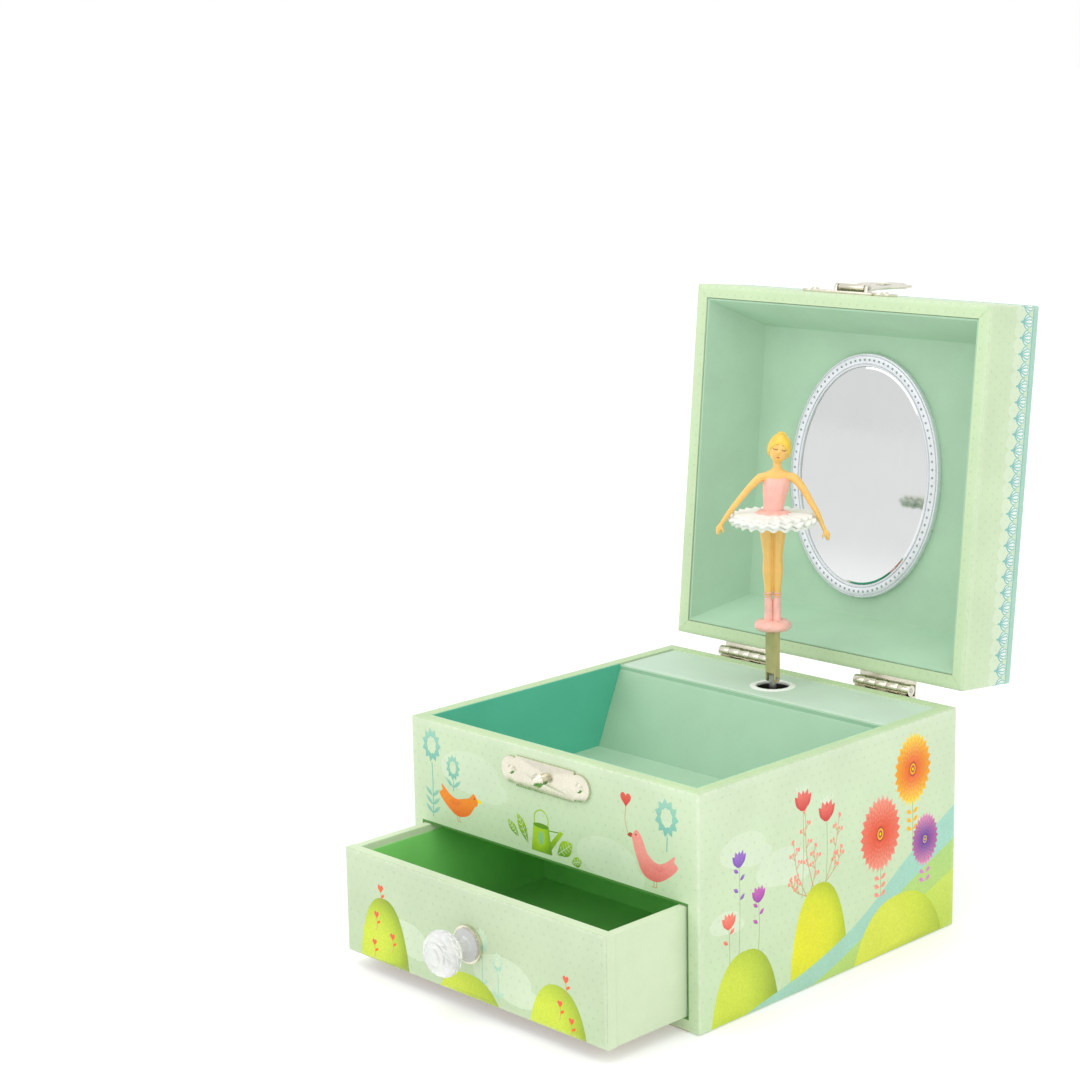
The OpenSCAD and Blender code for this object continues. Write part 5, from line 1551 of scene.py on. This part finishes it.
def build_shoes(sizes):
    """The lumpy stand and the two pointed shoes with their crossed ribbons."""
    radius = sizes.stand_radius / MM
    foot = STAND_LOW[2]
    profile = [(0, 0), (radius * 0.86, 0), (radius * 0.98, 0.5), (radius, 1.2), (radius * 0.94, 2.0),
               (radius * 0.78, 2.6), (radius * 0.5, 2.9), (0, 3.0)]

    def lumps(r, h, angle):
        high = np.clip(h / 2, 0, 1)
        swell = 1 + high * (0.035 * np.sin(7 * angle + 0.6) + 0.025 * np.sin(11 * angle + 2.1))
        return r * swell, h * (1 + 0.05 * np.sin(5 * angle + r) + 0.03 * np.sin(9 * angle + 2 * r))
    parts = [revolved(profile, 72, (0, 0, foot), (1, 1), lumps)]
    ankle = TUTU_Z - 23.4
    for side in (-1, 1):
        toe = foot + 2.6
        path = [(side * 1.2, -0.5, toe - 0.3), (side * 1.15, -0.62, toe + 1.2),
                (side * 1.12, -0.4, toe + 3.0), (side * 1.22, -0.05, ankle - 0.8),
                (side * 1.28, 0, ankle + 0.3)]
        parts.append(rod(path, [1.35, 1.3, 1.26, 1.2, 1.06], [1.5, 1.4, 1.36, 1.25, 1.12], 22, (0, 1, 0)))
        turn = np.arange(28) * TAU / 28
        for slope in (-0.5, 0.5):
            band = np.stack([side * 1.3 + 1.14 * np.cos(turn), 1.18 * np.sin(turn),
                             ankle + 1.3 + slope * np.sin(turn)], -1)
            parts.append(tube(band, 0.16, 0.2, 8, closed=True))
    mesh = closed_mesh("dancer_shoes_and_stand", [stand_dancer(part, sizes) for part in parts], 60)
    new_piece("dancer_shoes_and_stand", mesh, "dancer", "shoe_paint", ("dancer_stand",))


# ---- stage ----

def build_stage(view):
    """A pale floor, even studio light from a white surround and three soft panels, and the camera."""
    bpy.ops.mesh.primitive_plane_add(size=40, location=(0, 0, -0.0002))
    floor = bpy.context.active_object
    floor.name = "studio_floor"
    sweep = Finish("studio_sweep", (0.8, 0.8, 0.8), 0.8,
                   {"Emission Color": (1, 1, 1, 1), "Emission Strength": 0.26})
    floor.data.materials.append(sweep.done(sweep.tone(sweep.colour, sweep.noise(6, 2), 0.985, 1.0)))
    world = bpy.data.worlds.new("studio")
    bpy.context.scene.world = world
    world.use_nodes = True
    sky = world.node_tree.nodes["Background"]
    sky.inputs["Color"].default_value = (1, 1, 1, 1)
    sky.inputs["Strength"].default_value = view.surround
    for name, place, size, power in (("key_panel", (-0.55, -1.15, 0.85), 0.9, view.key_power),
                                     ("fill_panel", (1.1, -0.6, 0.6), 0.8, view.fill_power),
                                     ("top_panel", (0.1, -0.25, 1.2), 0.9, view.top_power)):
        light = bpy.data.lights.new(name, "AREA")
        light.size = size
        light.energy = power
        lamp = bpy.data.objects.new(name, light)
        lamp.location = place
        lamp.rotation_euler = (Vector((0, 0, 0.08)) - Vector(place)).to_track_quat("-Z", "Y").to_euler()
        bpy.context.scene.collection.objects.link(lamp)
    azimuth, elevation, roll = view.azimuth, view.elevation, view.roll
    back = Vector((math.sin(azimuth) * math.cos(elevation), -math.cos(azimuth) * math.cos(elevation),
                   math.sin(elevation)))
    right = Vector((math.cos(azimuth), math.sin(azimuth), 0))
    up = back.cross(right)
    side = right * math.cos(roll) + up * math.sin(roll)
    head = up * math.cos(roll) - right * math.sin(roll)
    lens = bpy.data.cameras.new("camera")
    lens.lens = view.lens
    lens.clip_start = 0.01
    camera = bpy.data.objects.new("camera", lens)
    turn = Matrix((side, head, back)).transposed().to_4x4()
    camera.matrix_world = Matrix.Translation(Vector(view.aim) + back * view.distance) @ turn
    bpy.context.scene.collection.objects.link(camera)
    bpy.context.scene.camera = camera
    bpy.context.scene.view_settings.view_transform = "Standard"


# ---- settings, operators and panel ----

class MusicBoxSizes(bpy.types.PropertyGroup):
    """Sizes of the box's papers, mirror, knob and dancer that a maker would change."""

    fold_radius: FloatProperty(name="Fold radius", description="Radius of the paper where it turns a corner",
                               default=0.0006, unit="LENGTH")
    paper: FloatProperty(name="Paper", description="Thickness of the covering paper", default=0.00025,
                         unit="LENGTH")
    print_spacing: FloatProperty(name="Print spacing",
                                 description="Distance between the plain points of a printed sheet",
                                 default=0.0022, unit="LENGTH")
    mirror_ring: FloatProperty(name="Mirror rim", description="Width of the mirror's rim", default=0.0039,
                               unit="LENGTH")
    mirror_dots: IntProperty(name="Mirror dots", description="Dots round the mirror's rim", default=92,
                             min=24)
    knob_facets: IntProperty(name="Knob facets", description="Facets round the knob", default=16, min=8)
    dancer_facing: FloatProperty(name="Dancer facing",
                                 description="Way she faces at rest, from the front to the right",
                                 default=math.radians(40), subtype="ANGLE")
    skin_voxel: FloatProperty(name="Skin detail", description="Size of the finest form on the dancer's skin",
                              default=0.00024, unit="LENGTH")
    tutu_layer: FloatProperty(name="Tutu layer", description="Thickness of a layer of the tutu",
                              default=0.00085, unit="LENGTH")
    stand_radius: FloatProperty(name="Stand radius", description="Radius of the disc that she stands on",
                                default=(STAND_HIGH[0] - STAND_LOW[0]) / 2 * MM, unit="LENGTH")


class MusicBoxView(bpy.types.PropertyGroup):
    """Where the camera stands and how bright the studio is."""

    azimuth: FloatProperty(name="Azimuth", description="Camera's angle round the box from its front",
                           default=math.radians(45.9), subtype="ANGLE")
    elevation: FloatProperty(name="Elevation", description="Camera's angle above the table",
                             default=math.radians(11.6), subtype="ANGLE")
    roll: FloatProperty(name="Roll", description="Camera's turn about its own line of sight",
                        default=math.radians(-1.09), subtype="ANGLE")
    distance: FloatProperty(name="Distance", description="From the camera to the point it looks at",
                            default=0.64, unit="LENGTH")
    aim: FloatVectorProperty(name="Aim", description="Point the camera looks at",
                             default=(-0.0200, -0.0353, 0.1158), subtype="TRANSLATION", unit="LENGTH")
    lens: FloatProperty(name="Lens", description="Focal length in millimetres on a 36 mm sensor",
                        default=78.63)
    surround: FloatProperty(name="Surround", description="Brightness of the white surround", default=1.0)
    key_power: FloatProperty(name="Key light", description="Power of the main panel in watts", default=3.05)
    fill_power: FloatProperty(name="Fill light", description="Power of the second panel in watts",
                              default=1.3)
    top_power: FloatProperty(name="Top light", description="Power of the panel overhead in watts",
                             default=3.45)


class MUSICBOX_OT_stage(bpy.types.Operator):
    """Makes the floor, the studio light and the camera."""

    bl_idname = "musicbox.stage"
    bl_label = "Set the stage"

    def execute(self, context):
        """Builds the pieces; an error stops the script."""
        build_stage(context.scene.music_box_view)
        return {"FINISHED"}


class MUSICBOX_OT_case_prints(bpy.types.Operator):
    """Makes the four printed sides of the case."""

    bl_idname = "musicbox.case_prints"
    bl_label = "Print the case"

    def execute(self, context):
        """Builds the pieces; an error stops the script."""
        build_case_prints(context.scene.music_box_sizes)
        return {"FINISHED"}


class MUSICBOX_OT_lid_prints(bpy.types.Operator):
    """Makes the lid's four printed sides and its top."""

    bl_idname = "musicbox.lid_prints"
    bl_label = "Print the lid"

    def execute(self, context):
        """Builds the pieces; an error stops the script."""
        build_lid_prints(context.scene.music_box_sizes)
        return {"FINISHED"}


class MUSICBOX_OT_drawer_print(bpy.types.Operator):
    """Makes the drawer front's printed sheet."""

    bl_idname = "musicbox.drawer_print"
    bl_label = "Print the drawer"

    def execute(self, context):
        """Builds the pieces; an error stops the script."""
        build_drawer_print(context.scene.music_box_sizes)
        return {"FINISHED"}


class MUSICBOX_OT_boards(bpy.types.Operator):
    """Gives every board its finish, and the drawer's walls soft edges."""

    bl_idname = "musicbox.boards"
    bl_label = "Finish the boards"

    def execute(self, context):
        """Builds the pieces; an error stops the script."""
        build_boards()
        return {"FINISHED"}


class MUSICBOX_OT_linings(bpy.types.Operator):
    """Makes the linings of tray, cover, lid and drawer."""

    bl_idname = "musicbox.linings"
    bl_label = "Line the box"

    def execute(self, context):
        """Builds the pieces; an error stops the script."""
        build_linings(context.scene.music_box_sizes)
        return {"FINISHED"}


class MUSICBOX_OT_mirror(bpy.types.Operator):
    """Makes the oval mirror and its dotted rim."""

    bl_idname = "musicbox.mirror"
    bl_label = "Fit the mirror"

    def execute(self, context):
        """Builds the pieces; an error stops the script."""
        build_mirror(context.scene.music_box_sizes)
        return {"FINISHED"}


class MUSICBOX_OT_knob(bpy.types.Operator):
    """Makes the cut acrylic knob."""

    bl_idname = "musicbox.knob"
    bl_label = "Fit the knob"

    def execute(self, context):
        """Builds the pieces; an error stops the script."""
        build_knob(context.scene.music_box_sizes)
        return {"FINISHED"}


class MUSICBOX_OT_metalwork(bpy.types.Operator):
    """Rounds and plates the hinges, latch, nails and winding key."""

    bl_idname = "musicbox.metalwork"
    bl_label = "Fit the metalwork"

    def execute(self, context):
        """Builds the pieces; an error stops the script."""
        build_metalwork()
        return {"FINISHED"}


class MUSICBOX_OT_stem(bpy.types.Operator):
    """Makes the cup ring and the dancer's folding channel."""

    bl_idname = "musicbox.stem"
    bl_label = "Fit the stem"

    def execute(self, context):
        """Builds the pieces; an error stops the script."""
        build_stem()
        return {"FINISHED"}


class MUSICBOX_OT_movement(bpy.types.Operator):
    """Gives the movement's pieces their metals."""

    bl_idname = "musicbox.movement"
    bl_label = "Finish the movement"

    def execute(self, context):
        """Builds the pieces; an error stops the script."""
        build_movement()
        return {"FINISHED"}


class MUSICBOX_OT_dancer(bpy.types.Operator):
    """Makes the dancer: skin, face, hair, dress, tutu, shoes and stand."""

    bl_idname = "musicbox.dancer"
    bl_label = "Make the dancer"

    def execute(self, context):
        """Builds the pieces; an error stops the script."""
        for build in (build_skin, build_face_and_hair, build_dress, build_shoes):
            build(context.scene.music_box_sizes)
        return {"FINISHED"}


OPERATORS = (MUSICBOX_OT_stage, MUSICBOX_OT_case_prints, MUSICBOX_OT_lid_prints, MUSICBOX_OT_drawer_print,
             MUSICBOX_OT_boards, MUSICBOX_OT_linings, MUSICBOX_OT_mirror, MUSICBOX_OT_knob,
             MUSICBOX_OT_metalwork, MUSICBOX_OT_stem, MUSICBOX_OT_movement, MUSICBOX_OT_dancer)


class MUSICBOX_PT_panel(bpy.types.Panel):
    """Lists the box's settings and its operators in the order they run."""

    bl_idname = "MUSICBOX_PT_panel"
    bl_label = "Music Box"
    bl_space_type = "VIEW_3D"
    bl_region_type = "UI"
    bl_category = "Music Box"

    def draw(self, context):
        """Draws the settings, then a button for each operator."""
        for group in (context.scene.music_box_sizes, context.scene.music_box_view):
            box = self.layout.box()
            for name in group.bl_rna.properties.keys():
                if name not in ("rna_type", "name"):
                    box.prop(group, name)
        for made in OPERATORS:
            self.layout.operator(made.bl_idname)


CLASSES = (MusicBoxSizes, MusicBoxView, *OPERATORS, MUSICBOX_PT_panel)


def register():
    """Registers the classes and hangs the settings on the scene."""
    for made in CLASSES:
        bpy.utils.register_class(made)
    bpy.types.Scene.music_box_sizes = PointerProperty(type=MusicBoxSizes)
    bpy.types.Scene.music_box_view = PointerProperty(type=MusicBoxView)


def unregister():
    """Takes the settings off the scene and unregisters the classes."""
    del bpy.types.Scene.music_box_view
    del bpy.types.Scene.music_box_sizes
    for made in reversed(CLASSES):
        bpy.utils.unregister_class(made)


def main():
    """Registers the add-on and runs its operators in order."""
    register()
    for made in OPERATORS:
        group, name = made.bl_idname.split(".")
        getattr(getattr(bpy.ops, group), name)()


if __name__ == "__main__":
    main()
